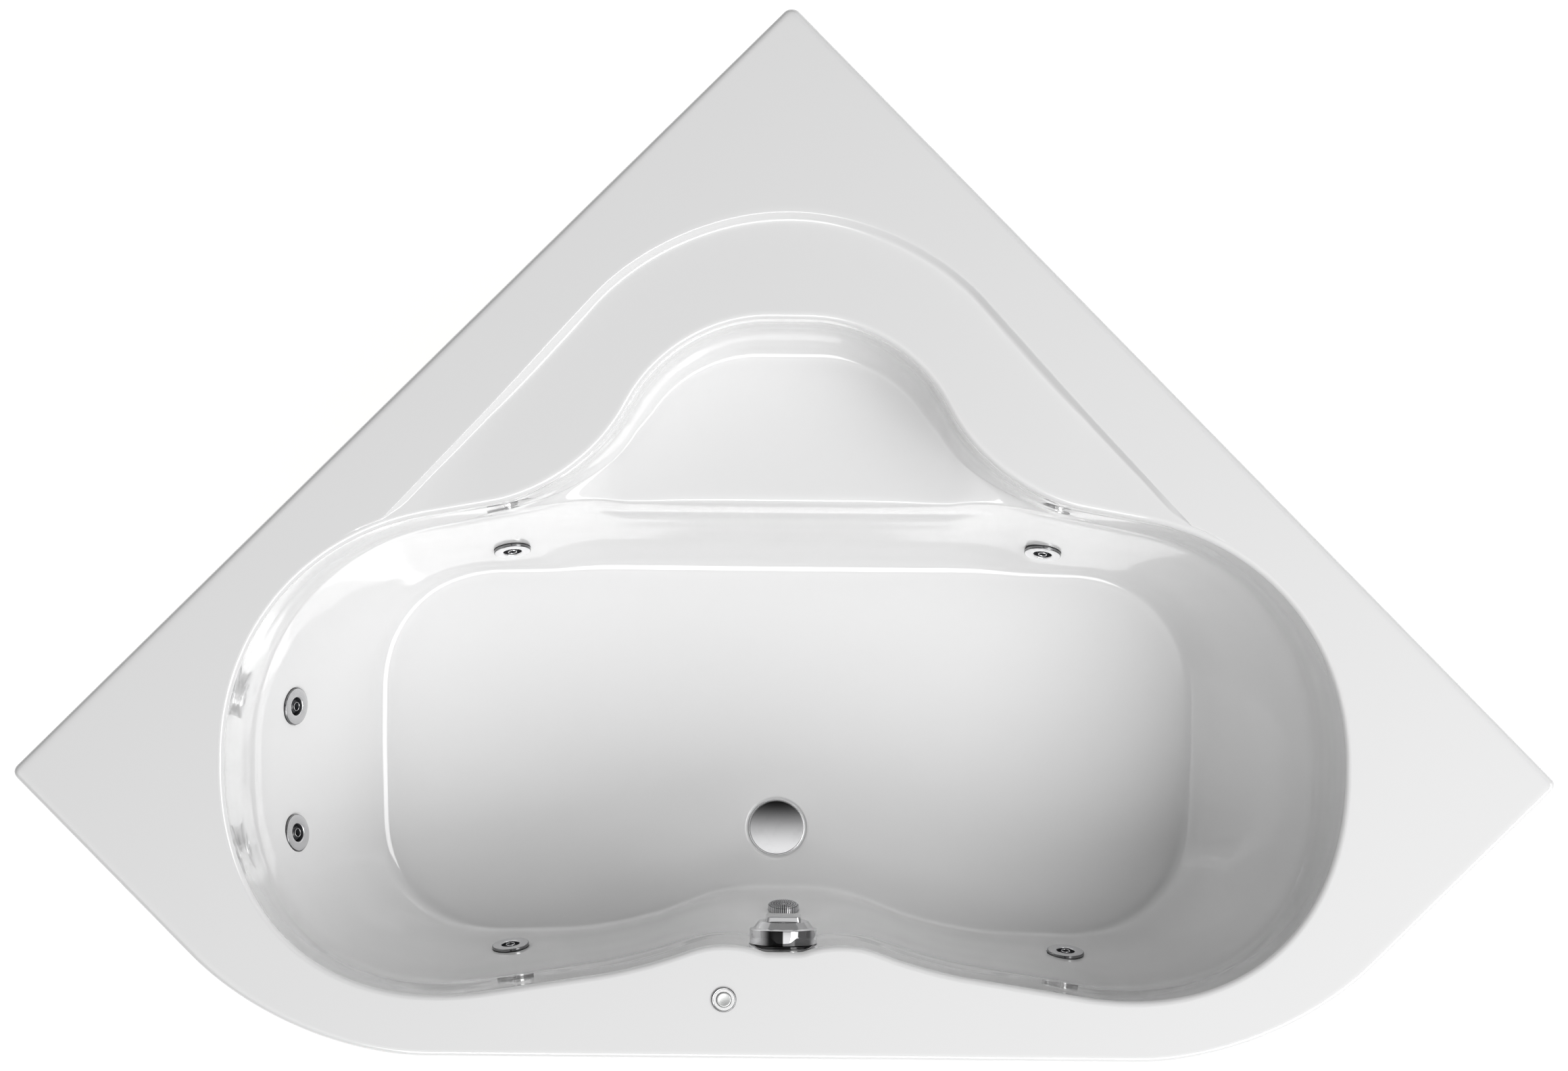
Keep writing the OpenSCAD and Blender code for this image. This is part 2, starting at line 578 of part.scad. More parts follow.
// Waste: flange through the floor, cover, gasket and body
flange_t = 2.5;
flange_r = cover_r + 5;
sleeve_wall = 2.5;
thread_gap = 0.2;
body_r = 31;
body_h = 84;
gasket_t = 3;
waste_len = 42;
stem_r = 4;
plug_lift = 10;
cover_h = 4;
body_bottom = base_z - gasket_t - body_h;
outlet_z = base_z - gasket_t - 60;
pipe_r = 20;
pipe_bore = 17.5;
trap_y = 44;
trap_r = 40;
outlet_reach = 106;
outlet_len = 40;
outlet_r = 25.2;
hose_r = 14;
hose_x = -62;
hose_low_x = -110;
module waste_flange() {
    color("gainsboro") placed() translate([drain_x, drain_y, drain_top]) {
        rotate_extrude() polygon([
            [waste_r - sleeve_wall, -waste_len], [waste_r, -waste_len], [waste_r, 0], [flange_r, 0],
            [flange_r, flange_t / 2], [flange_r - flange_t / 2, flange_t], [waste_r, flange_t],
            [waste_r - sleeve_wall, flange_t / 2]]);
        difference() {
            translate([0, 0, -waste_len]) cylinder(h = flange_t, r = waste_r - sleeve_wall / 2);
            translate([0, 0, -waste_len - over]) cylinder(h = flange_t + 2 * over, r = stem_r + run_gap);
            for (a = [0:60:300]) rotate([0, 0, a]) translate([waste_r / 2, 0, -waste_len - over])
                cylinder(h = flange_t + 2 * over, r = waste_r / 5);
        }
    }
}
module drain_plug() {
    rest = drain_top + flange_t + run_gap;
    color("silver") placed() translate([drain_x, drain_y, rest]) rotate_extrude() polygon([
        [0, -waste_len - flange_t - plug_lift - 2], [stem_r, -waste_len - flange_t - plug_lift - 2],
        [stem_r, -9], [waste_r - sleeve_wall - 6, -7], [waste_r - sleeve_wall - 1, -4],
        [waste_r - sleeve_wall - 1, 0], [cover_r - 1, 0], [cover_r, 1],
        for (i = [0:6]) let (f = 1 - i / 6) [cover_r * f * (f < 1 ? 1 : 0.985), 1 + cover_h * (1 - f * f) + (f < 1 ? 0 : 0.5)]]);
}
module waste_gasket() {
    color("black") placed() translate([drain_x, drain_y, base_z - gasket_t]) tube(gasket_t, flange_r, waste_r + pass_gap);
}
hose_in = [drain_x - body_r - 17, drain_y, outlet_z];
module waste_body() {
    top = base_z - gasket_t;
    color("whitesmoke") placed() difference() {
        union() {
            translate([drain_x, drain_y, body_bottom]) cylinder(h = body_h, r = body_r);
            translate([drain_x, drain_y, top - 5]) cylinder(h = 5, r = flange_r);
            rod([drain_x, drain_y, outlet_z], [drain_x, drain_y + body_r + 14, outlet_z], pipe_r);
            rod([drain_x, drain_y, outlet_z], hose_in, hose_r + 2);
            rod([drain_x - cable_side, drain_y, outlet_z + 8], [drain_x - cable_side, drain_y - body_r - 10, outlet_z + 8], 6);
        }
        translate([drain_x, drain_y, body_bottom + 3]) cylinder(h = body_h, r = waste_r + thread_gap);
        rod([drain_x, drain_y, outlet_z], [drain_x, drain_y + body_r + 14 + over, outlet_z], pipe_bore);
    }
}
// Bottle trap, with its outlet towards the left
module waste_trap() {
    y0 = drain_y + body_r + 14;
    top = outlet_z + pipe_r + 4;
    bottom = 8 - deck_h;
    color("whitesmoke") placed() difference() {
        union() {
            rod([drain_x, y0, outlet_z], [drain_x, trap_y, outlet_z], pipe_r);
            translate([drain_x, y0, outlet_z]) aim([0, 1, 0]) cylinder(h = 12, r = pipe_r + 5, $fn = 8);
            translate([drain_x, trap_y, bottom]) cylinder(h = top - bottom, r = trap_r);
            translate([drain_x, trap_y, top - 10]) cylinder(h = 10, r = trap_r + 3);
            rod([drain_x - trap_r / 2, trap_y, outlet_z + 3], [drain_x - outlet_reach, trap_y, outlet_z + 3], outlet_r + 3.3);
        }
        rod([drain_x, y0 - over, outlet_z], [drain_x, trap_y, outlet_z], pipe_bore);
        translate([drain_x, trap_y, bottom + 3]) cylinder(h = top - bottom - 8, r = trap_r - 3);
        rod([drain_x - outlet_reach + outlet_len, trap_y, outlet_z + 3],
            [drain_x - outlet_reach - over, trap_y, outlet_z + 3], outlet_r);
        rod([drain_x - trap_r / 2, trap_y, outlet_z + 3], [drain_x - outlet_reach, trap_y, outlet_z + 3], pipe_bore);
    }
}

// Overflow, filler and waste control on the waist
overflow_r = 24;
rosette_gap = 1;
flange_h = 5;
ring_h = 24;
cone_h = 6;
grip_r = 28;
grip_w = 44;
grip_h = 9;
grip_edge = 1.5;
cone_r = 29;
knob_t = 3;
overflow_depth = 46;
inlet_r = 13.2;
inlet_len = 20;
inlet_collar = 6;
cable_r = 3.5;
cable_side = 22;
spindle_r = 5;
module overflow_gasket() {
    color("black") placed() on_seat(knob_seat) translate([0, 0, -seat_sink]) rotate_extrude() polygon([
        [overflow_r + pass_gap, 0], [knob_r - 1, 0], [knob_r, gasket_t / 2], [knob_r - 1, gasket_t],
        [overflow_r + pass_gap, gasket_t]]);
}
flange_z = gasket_t - seat_sink;
knob_z = flange_z + flange_h + rosette_gap;
module filler_flange() {
    color("silver") placed() on_seat(knob_seat) difference() {
        rotate_extrude() polygon([
            [overflow_r - 3, -overflow_depth / 2], [overflow_r, -overflow_depth / 2], [overflow_r, flange_z],
            [knob_r - 2, flange_z], [knob_r - 1, flange_z + 2], [knob_r - 6, flange_z + flange_h],
            [spindle_r + run_gap, flange_z + flange_h], [spindle_r + run_gap, flange_z], [overflow_r - 3, flange_z]]);
        for (a = [0:60:300]) rotate([0, 0, a]) translate([overflow_r / 1.8, 0, flange_z - over])
            cylinder(h = flange_h + 2 * over, r = overflow_r / 5);
    }
}
module knob_ring() {
    color("silver") placed() on_seat(knob_seat) translate([0, 0, knob_z]) rotate_extrude() polygon([
        [spindle_r, ring_h - 8], [spindle_r + 4, ring_h - 4], [knob_r - knob_t, ring_h - 4], [knob_r - knob_t, 0],
        [knob_r - 1, 0], [knob_r, 1], [knob_r, ring_h - 1], [knob_r - 1, ring_h], [cone_r, ring_h + cone_h],
        [spindle_r, ring_h + cone_h]]);
}
module knob_grip() {
    color("silver") placed() on_seat(knob_seat) translate([0, 0, knob_z]) {
        translate([0, 0, ring_h + cone_h]) intersection() {
            rotate_extrude() polygon([
                [0, 0], [grip_r, 0], [grip_r, grip_h - grip_edge], [grip_r - grip_edge, grip_h], [0, grip_h]]);
            translate([-grip_r, -grip_w / 2, -over]) cube([2 * grip_r, grip_w, grip_h + 2 * over]);
        }
        translate([0, 0, -knob_z - overflow_depth / 2]) cylinder(h = knob_z + overflow_depth / 2 + ring_h + cone_h, r = spindle_r - thread_gap);
    }
}
module overflow_body() {
    back = -seat_t - seat_sink;
    color("whitesmoke") placed() on_seat(knob_seat) difference() {
        union() {
            translate([0, 0, back - 4]) cylinder(h = 4, r = knob_r - 4);
            translate([0, 0, -overflow_depth]) cylinder(h = overflow_depth + back, r = overflow_r + 6);
            translate([0, 0, -overflow_depth / 1.5]) rotate([-90, 0, 0]) cylinder(h = -hose_x, r = hose_r + 2);
            translate([0, -hose_x, -overflow_depth / 1.5]) sphere(r = hose_r + 2);
            translate([0, -hose_x, -overflow_depth / 1.5]) rotate([0, 90, 0]) cylinder(h = 40, r = hose_r + 2);
            translate([0, 0, -overflow_depth - inlet_collar - inlet_len]) cylinder(h = inlet_len + inlet_collar, r = inlet_r);
            translate([0, 0, -overflow_depth - inlet_collar]) cylinder(h = inlet_collar + over, r = inlet_r + 4, $fn = 6);
            translate([0, -cable_x, -overflow_depth / 1.5]) rotate([0, 90, 0]) cylinder(h = overflow_r + 14, r = 6);
        }
        translate([0, 0, 4 - overflow_depth]) cylinder(h = overflow_depth, r = overflow_r + thread_gap);
    }
}
cable_x = -36;
module overflow_hose() {
    back = on_axis(knob_seat, -overflow_depth / 1.5);
    down = [0, knob_seat[1][2], -knob_seat[1][1]];
    start = back + [hose_x, 0, 0] + down * 40;
    color("gainsboro") placed() run([
        start, start + down * 20, [hose_x, start[1], outlet_z + 60], [hose_low_x, front_rail_y - 2 * rail_h, outlet_z],
        [hose_low_x, drain_y, outlet_z], hose_in], hose_r, 12, 30);
}
module control_cable() {
    back = on_axis(knob_seat, -overflow_depth / 1.5);
    down = [0, knob_seat[1][2], -knob_seat[1][1]];
    start = back + [cable_x, 0, 0] + down * (overflow_r + 14);
    end = [drain_x - cable_side, drain_y - body_r - 10, outlet_z + 8];
    color("dimgray") placed() run([
        start, start + down * 20, [cable_x, start[1], outlet_z + 70], [cable_x, front_rail_y - rail_h, end[2]],
        end - [0, 16, 0], end], cable_r, 8, 20);
}

// Suction of the pump
strainer_t = 9;
strainer_holes = 12;
suction_r = 19;
suction_pipe_r = 25;
suction_drop = 80;
suction_tail = 40;
suction_fall = 45;
module strainer_cover() {
    face = strainer_t - seat_sink;
    color("silver") placed() on_seat(strainer_seat) difference() {
        rotate_extrude() polygon([
            [0, -16], [sleeve_r, -16], [sleeve_r, -seat_sink], [strainer_r, -seat_sink], [strainer_r, face - 1.5],
            [strainer_r - 1.5, face], [0, face]]);
        translate([0, 0, -16 - over]) cylinder(h = 16 + face - 2, r = sleeve_r - 2.5);
        for (ring = [[0.58, strainer_holes], [0.3, strainer_holes / 2]], a = [0:ring[1] - 1])
            rotate([0, 0, a * 360 / ring[1]]) translate([strainer_r * ring[0], 0, face - 3])
                cylinder(h = 4, r = 1.4);
    }
}
suction_end = on_axis(strainer_seat, -suction_tail) - [0, 0, suction_drop];
module suction_body() {
    tail = on_axis(strainer_seat, -suction_tail);
    color("whitesmoke") placed() difference() {
        union() {
            on_seat(strainer_seat) {
                translate([0, 0, -seat_t - seat_sink - 5]) cylinder(h = 5, r = strainer_r);
                translate([0, 0, -suction_tail]) cylinder(h = suction_tail - seat_t - seat_sink, r = suction_r);
            }
            translate(tail) sphere(r = suction_pipe_r);
            rod(tail, suction_end, suction_pipe_r);
        }
        on_seat(strainer_seat) translate([0, 0, -24]) cylinder(h = 24, r = sleeve_r + thread_gap);
    }
}

// Massage jets
bore_gap = 0.4;
ring_gasket_t = 1;
ring_bore = ball_r + bore_gap;
ring_sleeve = 22;
ball_z = -7.5;
tee_z = -58;
tee_len = 34;
tee_r = 19;
water_r = 16;
air_z = -34;
air_r = 7;
jet_barrel_r = 21.5;
notch_r = 1.8;
notch_h = 2;
module jet_ring(j) {
    top = jet_t + ring_gasket_t - seat_sink;
    color("lightgray") placed() on_seat(jet_seats[j]) difference() {
        rotate_extrude() polygon([
            [ring_bore, -ring_sleeve], [sleeve_r, -ring_sleeve], [sleeve_r, ring_gasket_t - seat_sink],
            [jet_r, ring_gasket_t - seat_sink], [jet_r, top - 1.4], [jet_r - 1.2, top], [ring_bore + 2.5, top],
            [ring_bore, top - 2]]);
        translate([-jet_r, 0, top - notch_h]) cylinder(h = notch_h + over, r = notch_r);
    }
}
module jet_nozzle(j) {
    color("dimgray") placed() on_seat(jet_seats[j]) translate([0, 0, ball_z]) difference() {
        union() {
            sphere(r = ball_r);
            cylinder(h = ball_r + 1.2, r = ball_r / 2);
        }
        translate([0, 0, ball_r - 3]) cylinder(h = 5, r1 = ball_r / 4, r2 = ball_r / 2.4);
        translate([0, 0, -ball_r - over]) cylinder(h = 2 * ball_r + 2 * over, r = ball_r / 4);
    }
}
module jet_gaskets() {
    color("black") placed() for (s = jet_seats) on_seat(s)
        translate([0, 0, -seat_sink]) tube(ring_gasket_t, jet_r, sleeve_r + pass_gap);
}
module jet_bodies() {
    back = -seat_t - seat_sink;
    color("whitesmoke") placed() for (s = jet_seats) on_seat(s) difference() {
        union() {
            translate([0, 0, back - 4]) cylinder(h = 4, r = jet_r);
            translate([0, 0, tee_z - 2]) cylinder(h = back - tee_z + 2, r = jet_barrel_r);
            translate([0, tee_len, tee_z]) rotate([90, 0, 0]) cylinder(h = 2 * tee_len, r = tee_r);
            translate([0, tee_len, air_z]) rotate([90, 0, 0]) cylinder(h = 2 * tee_len, r = air_r + 2);
        }
        translate([0, 0, -ring_sleeve - over]) cylinder(h = ring_sleeve + over, r = sleeve_r + thread_gap);
        translate([0, 0, tee_z]) cylinder(h = -tee_z, r = ball_r - 2);
    }
}
// Ends of a jet's cross tube at a depth behind the wall
function tee_end(j, depth, side) = on_axis(jet_seats[j], depth) + level(jet_seats[j]) * side * tee_len;
bend_run = 14;
// Pipe from the end of one jet to the next, round the corners given between
function link(j, depth, middle, rise = 0) =
    let (a = tee_end(j, depth, -1), b = tee_end(j + 1, depth, 1), mid_z = (a[2] + b[2]) / 2 + rise)
    concat([a, a - level(jet_seats[j]) * bend_run], [for (p = middle) up(p, mid_z)],
        [b + level(jet_seats[j + 1]) * bend_run, b]);
corner_back = [[-585, 272]];
corner_front = [[-560, -268]];
behind_waist = [[-150, -288], [150, -288]];
air_behind_waist = [[-150, -280], [150, -280]];
air_rise = 40;
pump_x = rail_right + 115;
pump_y = -160;
tray_z = 30 - deck_h;
tray_t = 3;
volute_r = 72;
volute_w = 50;
volute_rim = 5;
pump_z = tray_z + tray_t + volute_r + volute_rim + over;
outlet_x = pump_x + volute_r / 2 + over;
outlet_top = pump_z + volute_r + 12;
pipe_rise = 45;
module pressure_pipe() {
    first = tee_end(0, tee_z, 1);
    color("gainsboro") placed() {
        run([
            [outlet_x, pump_y, outlet_top], [outlet_x, pump_y, outlet_top + pipe_rise],
            [outlet_x, 140, outlet_top + pipe_rise], [rail_right, 352, first[2]],
            first + level(jet_seats[0]) * bend_run, first], water_r);
        run(link(0, tee_z, []), water_r);
        run(link(1, tee_z, corner_back), water_r);
        run(link(2, tee_z, []), water_r);
        run(link(3, tee_z, corner_front), water_r);
        run(link(4, tee_z, behind_waist), water_r);
    }
}
module air_hose() {
    first = tee_end(0, air_z, 1);
    color("lightsteelblue") placed() {
        run([first, first + level(jet_seats[0]) * bend_run, [rail_right, 365, first[2] + 90], [rail_right, 365, -80]], air_r, 8);
        run(link(0, air_z, []), air_r, 8);
        run(link(1, air_z, corner_back, air_rise), air_r, 8);
        run(link(2, air_z, []), air_r, 8);
        run(link(3, air_z, corner_front, air_rise), air_r, 8);
        run(link(4, air_z, air_behind_waist, air_rise), air_r, 8);
    }
}

// Air button on the front of the deck
bezel_h = 3;
button_h = 14;
button_rise = 1.2;
sleeve_len = 20;
button_sleeve_r = button_bore;
bellows_h = 14;
module button_bezel() {
    color("gainsboro") placed() translate([button_x, button_y, 0]) rotate_extrude() polygon([
        [button_r + run_gap, -sleeve_len], [button_sleeve_r, -sleeve_len], [button_sleeve_r, 0], [bezel_r, 0],
        [bezel_r, bezel_h - 1.2], [bezel_r - 1.2, bezel_h], [bezel_r - 3, bezel_h], [bezel_r - 3.6, bezel_h - 0.6],
        [button_r + run_gap, bezel_h - 0.6]]);
}
module air_button() {
    color("white") placed() translate([button_x, button_y, bezel_h - 0.6 + button_rise]) rotate_extrude() polygon([
        [0, -button_h], [button_r, -button_h], [button_r, 0],
        for (i = [0:5]) let (f = 1 - i / 5) [button_r * f * (f < 1 ? 1 : 0.96), 1.6 * (1 - f * f) + 0.2]]);
}
button_under = bezel_h - 0.6 + button_rise - button_h;
bellows_r = button_r - 1.5;
module button_bellows() {
    color("black") placed() translate([button_x, button_y, button_under - bellows_h]) rotate_extrude() polygon([
        [bellows_r - 4, 0], [bellows_r - 2, 0],
        for (i = [0:2]) each [[bellows_r, bellows_h * (i + 0.5) / 3], [bellows_r - 2, bellows_h * (i + 1) / 3]],
        [bellows_r - 4, bellows_h]]);
}
module button_body() {
    top = -shell_t;
    floor_z = button_under - bellows_h;
    color("dimgray") placed() translate([button_x, button_y, 0]) difference() {
        union() {
            translate([0, 0, top - 5]) cylinder(h = 5, r = bezel_r + 3, $fn = 6);
            translate([0, 0, floor_z - 6]) cylinder(h = top - floor_z + 6, r = bezel_r);
            translate([0, 0, floor_z - 14]) cylinder(h = 10, r = 4);
        }
        translate([0, 0, -sleeve_len - over]) cylinder(h = sleeve_len, r = button_sleeve_r + thread_gap);
        translate([0, 0, floor_z]) cylinder(h = -floor_z, r = button_r - 1);
    }
}
line_r = 3;
line_z = pump_z + suction_pipe_r + 19;
box_x = rail_right + 100;
box_y = 178;
box_w = 110;
box_d = 90;
box_h = 60;
module air_line() {
    start = [button_x, button_y, button_under - bellows_h - 14];
    color("gray") placed() run([
        start, start - [0, 0, 16], [button_x, -328, -150], [button_x, -330, line_z], [rail_right, -330, line_z],
        [rail_right + 230, -150, line_z], [rail_right + 230, box_y, tray_z + tray_t + box_h / 2],
        [box_x + box_w / 2, box_y, tray_z + tray_t + box_h / 2]],
        line_r, 8);
}

// Pump, with its axis along Y
impeller_r = 48;
impeller_w = 16;
chamber_w = 22;
shaft_r = 8;
motor_r = 58;
motor_len = 190;
pump_back = pump_y + volute_w / 2;
inlet_stub = 26;
module along_y() {
    rotate([-90, 0, 0]) children();
}
module pump_housing() {
    color("dimgray") placed() difference() {
        union() {
            translate([pump_x, pump_y - volute_w / 2, pump_z]) along_y() rotate_extrude() polygon([
                [0, 0], [volute_r - 14, 0], [volute_r - 4, 4], [volute_r, 14], [volute_r, volute_w - 8],
                [volute_r + volute_rim, volute_w - 8], [volute_r + volute_rim, volute_w], [0, volute_w]]);
            translate([pump_x, pump_y - volute_w / 2 - inlet_stub, pump_z]) along_y()
                cylinder(h = inlet_stub + 5, r = suction_pipe_r + 5);
            translate([outlet_x, pump_y, pump_z]) cylinder(h = outlet_top - pump_z, r = water_r + 5);
            translate([pump_x - 40, pump_y - 20, tray_z + tray_t]) cube([80, 40, 30]);
        }
        translate([pump_x, pump_y - chamber_w / 2, pump_z]) along_y() cylinder(h = chamber_w, r = impeller_r + 8);
        translate([pump_x, pump_y, pump_z]) along_y() cylinder(h = volute_w, r = shaft_r + run_gap);
        translate([pump_x, pump_y - volute_w / 2 - inlet_stub - over, pump_z]) along_y()
            cylinder(h = volute_w / 2 + inlet_stub, r = suction_pipe_r - 6);
    }
}
module pump_impeller() {
    color("gainsboro") placed() translate([pump_x, pump_y - impeller_w / 2, pump_z]) along_y() {
        translate([0, 0, impeller_w - 3]) cylinder(h = 3, r = impeller_r);
        cylinder(h = impeller_w, r = 2 * shaft_r);
        cylinder(h = volute_w / 2 + motor_len / 2, r = shaft_r);
        for (a = [0:60:300]) rotate([0, 0, a]) difference() {
            translate([impeller_r / 2, 0, 0]) cylinder(h = impeller_w, r = impeller_r / 2);
            translate([impeller_r / 2 + 2, -2, -over]) cylinder(h = impeller_w + 2 * over, r = impeller_r / 2);
        }
    }
}
module motor_casing() {
    fins = 20;
    color("slategray") placed() translate([pump_x, pump_back, pump_z]) {
        along_y() difference() {
            union() {
                cylinder(h = 10, r = motor_r + 6);
                cylinder(h = motor_len - 40, r = motor_r - 7);
                for (a = [0:fins - 1]) rotate([0, 0, a * 360 / fins]) translate([0, -2, 0])
                    cube([motor_r, 4, motor_len - 40]);
                translate([0, 0, motor_len - 44]) cylinder(h = 44, r = motor_r);
            }
            translate([0, 0, -over]) cylinder(h = volute_w / 2 + motor_len / 2 + over, r = shaft_r + run_gap);
            for (a = [0:45:315]) rotate([0, 0, a]) translate([motor_r * 0.6, 0, motor_len - 5])
                cylinder(h = 5 + over, r = 8);
        }
        for (y = [20, motor_len - 70]) translate([-42, y, tray_z + tray_t - pump_z])
            cube([84, 26, pump_z - tray_z - tray_t - motor_r + 12]);
    }
}
module terminal_box() {
    z0 = pump_z + motor_r;
    color("dimgray") placed() translate([pump_x - 30, pump_back + 40, z0]) difference() {
        cube([60, 70, 26]);
        for (x = [6, 54], y = [6, 64]) translate([x, y, 24]) cylinder(h = 3, r = 2.5);
    }
}
tray_right = rail_right + 185;
module pump_tray() {
    color("silver") placed() {
        translate([rail_right, -205, tray_z]) cube([tray_right - rail_right, 440, tray_t]);
        for (y = [front_rail_y, back_rail_y]) translate([rail_right, y - rail_h / 2, tray_z])
            cube([tray_t, rail_h, rail_top - tray_z]);
    }
}
module suction_pipe() {
    inlet = [pump_x, pump_y - volute_w / 2 - inlet_stub, pump_z];
    color("gainsboro") placed() run([
        suction_end, suction_end - [0, 0, suction_fall], [120, -262, suction_end[2] - suction_fall],
        [520, -262, suction_end[2] - suction_fall], [pump_x, inlet[1] - 44, pump_z], inlet], suction_pipe_r, 14);
}
module control_box() {
    color("whitesmoke") placed() translate([box_x - box_w / 2, box_y - box_d / 2, tray_z + tray_t]) difference() {
        union() {
            cube([box_w, box_d, box_h - 8]);
            translate([-2, -2, box_h - 8]) cube([box_w + 4, box_d + 4, 8]);
        }
        for (x = [8, box_w - 8], y = [8, box_d - 8]) translate([x, y, box_h - 3]) cylinder(h = 4, r = 3);
    }
}
module cable_gland() {
    y = box_y + box_d / 2;
    color("black") placed() translate([box_x, y, tray_z + tray_t + box_h / 2]) along_y() {
        tube(6, 11, 4);
        translate([0, 0, 6]) hex(8, 12, 4);
        translate([0, 0, 14]) tube(10, 8, 4);
    }
}

bath_shell();
base_board();
seat_board();
front_rail();
back_rail();
seat_leg();
frame_screws();
foot_nuts();
for (j = [0:4]) foot(j);
wall_anchor(-1);  // wall_anchor_left
wall_anchor(1);  // wall_anchor_right
waste_flange();
drain_plug();
waste_gasket();
waste_body();
waste_trap();
overflow_gasket();
filler_flange();
knob_ring();
knob_grip();
overflow_body();
overflow_hose();
control_cable();
strainer_cover();
suction_body();
suction_pipe();
for (j = [0:5]) jet_ring(j);
for (j = [0:5]) jet_nozzle(j);
jet_bodies();
jet_gaskets();
pressure_pipe();
air_hose();
button_bezel();
air_button();
button_bellows();
button_body();
air_line();
pump_housing();
pump_impeller();
motor_casing();
terminal_box();
pump_tray();
control_box();
cable_gland();
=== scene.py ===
"""Corner bath with massage jets: the looks of its acrylic shell, fittings, frame and pump."""

import math

import bmesh
import bpy
from bpy.props import FloatProperty, FloatVectorProperty, IntProperty, PointerProperty
from mathutils import Matrix, Vector


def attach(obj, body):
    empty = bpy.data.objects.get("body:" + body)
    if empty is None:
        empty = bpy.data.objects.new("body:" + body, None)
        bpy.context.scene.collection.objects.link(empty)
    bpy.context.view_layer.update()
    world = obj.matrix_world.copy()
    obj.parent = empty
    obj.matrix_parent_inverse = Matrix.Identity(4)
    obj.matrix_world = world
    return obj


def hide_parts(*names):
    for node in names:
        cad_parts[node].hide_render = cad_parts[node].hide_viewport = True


bl_info = {
    "name": "Corner Bath",
    "version": (1, 0, 0),
    "blender": (4, 5, 0),
    "location": "View3D > Sidebar > Bath",
    "description": "Builds the moulded shell, fittings and plumbing of a corner bath",
    "category": "Object",
}

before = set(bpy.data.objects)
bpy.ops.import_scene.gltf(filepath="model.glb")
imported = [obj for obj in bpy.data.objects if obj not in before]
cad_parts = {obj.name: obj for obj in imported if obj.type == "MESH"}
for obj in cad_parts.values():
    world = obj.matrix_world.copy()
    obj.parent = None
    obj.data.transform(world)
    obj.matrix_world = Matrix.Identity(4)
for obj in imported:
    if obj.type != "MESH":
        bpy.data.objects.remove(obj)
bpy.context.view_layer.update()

# The bath is measured in millimetres from the middle of the line of its tips, at the deck's top
MM = 0.001
PLAN_Y = 312.475
DECK_Z = 570.0


def place(p):
    """A point measured on the deck, as a point of the row frame."""
    return Vector((p[0] * MM, (p[1] - PLAN_Y) * MM, (p[2] + DECK_Z) * MM))


# ---- Sizes and colours that a user would change ----


class BathSizes(bpy.types.PropertyGroup):
    """Sizes of the visible surfaces, in millimetres."""

    face_len: FloatProperty(
        name="Face length", description="Largest face along the outline", default=8.0, min=4.0, max=20.0)
    recess_r: FloatProperty(
        name="Drain recess", description="Radius of the recess round the drain cover", default=39.0)
    spin_steps: IntProperty(
        name="Spin steps", description="Steps of each turned fitting", default=72, min=24, max=128)
    bevel: FloatProperty(
        name="Edge bevel", description="Width of broken edges on metal and plastic", default=0.7, min=0.1, max=2.0)


class BathColours(bpy.types.PropertyGroup):
    """Colours of the finishes."""

    acrylic: FloatVectorProperty(
        name="Acrylic", description="Sanitary white of the shell", subtype="COLOR", default=(0.79, 0.79, 0.791))
    laminate: FloatVectorProperty(
        name="Laminate", description="Glass fibre backing", subtype="COLOR", default=(0.62, 0.58, 0.47))
    chrome: FloatVectorProperty(
        name="Chrome", description="Plated fittings", subtype="COLOR", default=(0.80, 0.80, 0.81))
    pipe: FloatVectorProperty(
        name="Pipe", description="White pipes and bodies", subtype="COLOR", default=(0.80, 0.80, 0.78))
    zinc: FloatVectorProperty(
        name="Zinc", description="Galvanised frame", subtype="COLOR", default=(0.56, 0.57, 0.58))
    board: FloatVectorProperty(
        name="Board", description="Chipboard under the shell", subtype="COLOR", default=(0.60, 0.45, 0.28))
    motor: FloatVectorProperty(
        name="Motor", description="Paint of the motor casing", subtype="COLOR", default=(0.11, 0.14, 0.17))


def sizes():
    return bpy.context.scene.bath_sizes


def colours():
    return bpy.context.scene.bath_colours


class BuildStep:
    """What the operators share: each runs its build function, and an error in it stops the script."""

    def execute(self, context):
        self.build()
        return {"FINISHED"}


# ---- Shader maths ----


class Val:
    """A shader value that adds its Math nodes as it is worked with."""

    def __init__(self, tree, socket):
        self.tree, self.socket = tree, socket

    def _math(self, op, *others):
        node = self.tree.nodes.new("ShaderNodeMath")
        node.operation = op
        for i, x in enumerate(others):
            if isinstance(x, Val):
                self.tree.links.new(x.socket, node.inputs[i])
            else:
                node.inputs[i].default_value = x
        return Val(self.tree, node.outputs[0])

    def __add__(self, x):
        return self._math("ADD", self, x)

    __radd__ = __add__

    def __mul__(self, x):
        return self._math("MULTIPLY", self, x)

    __rmul__ = __mul__

    def __sub__(self, x):
        return self._math("SUBTRACT", self, x)

    def __rsub__(self, x):
        return self._math("SUBTRACT", x, self)

    def __truediv__(self, x):
        return self._math("DIVIDE", self, x)

    def most(self, x):
        return self._math("MAXIMUM", self, x)


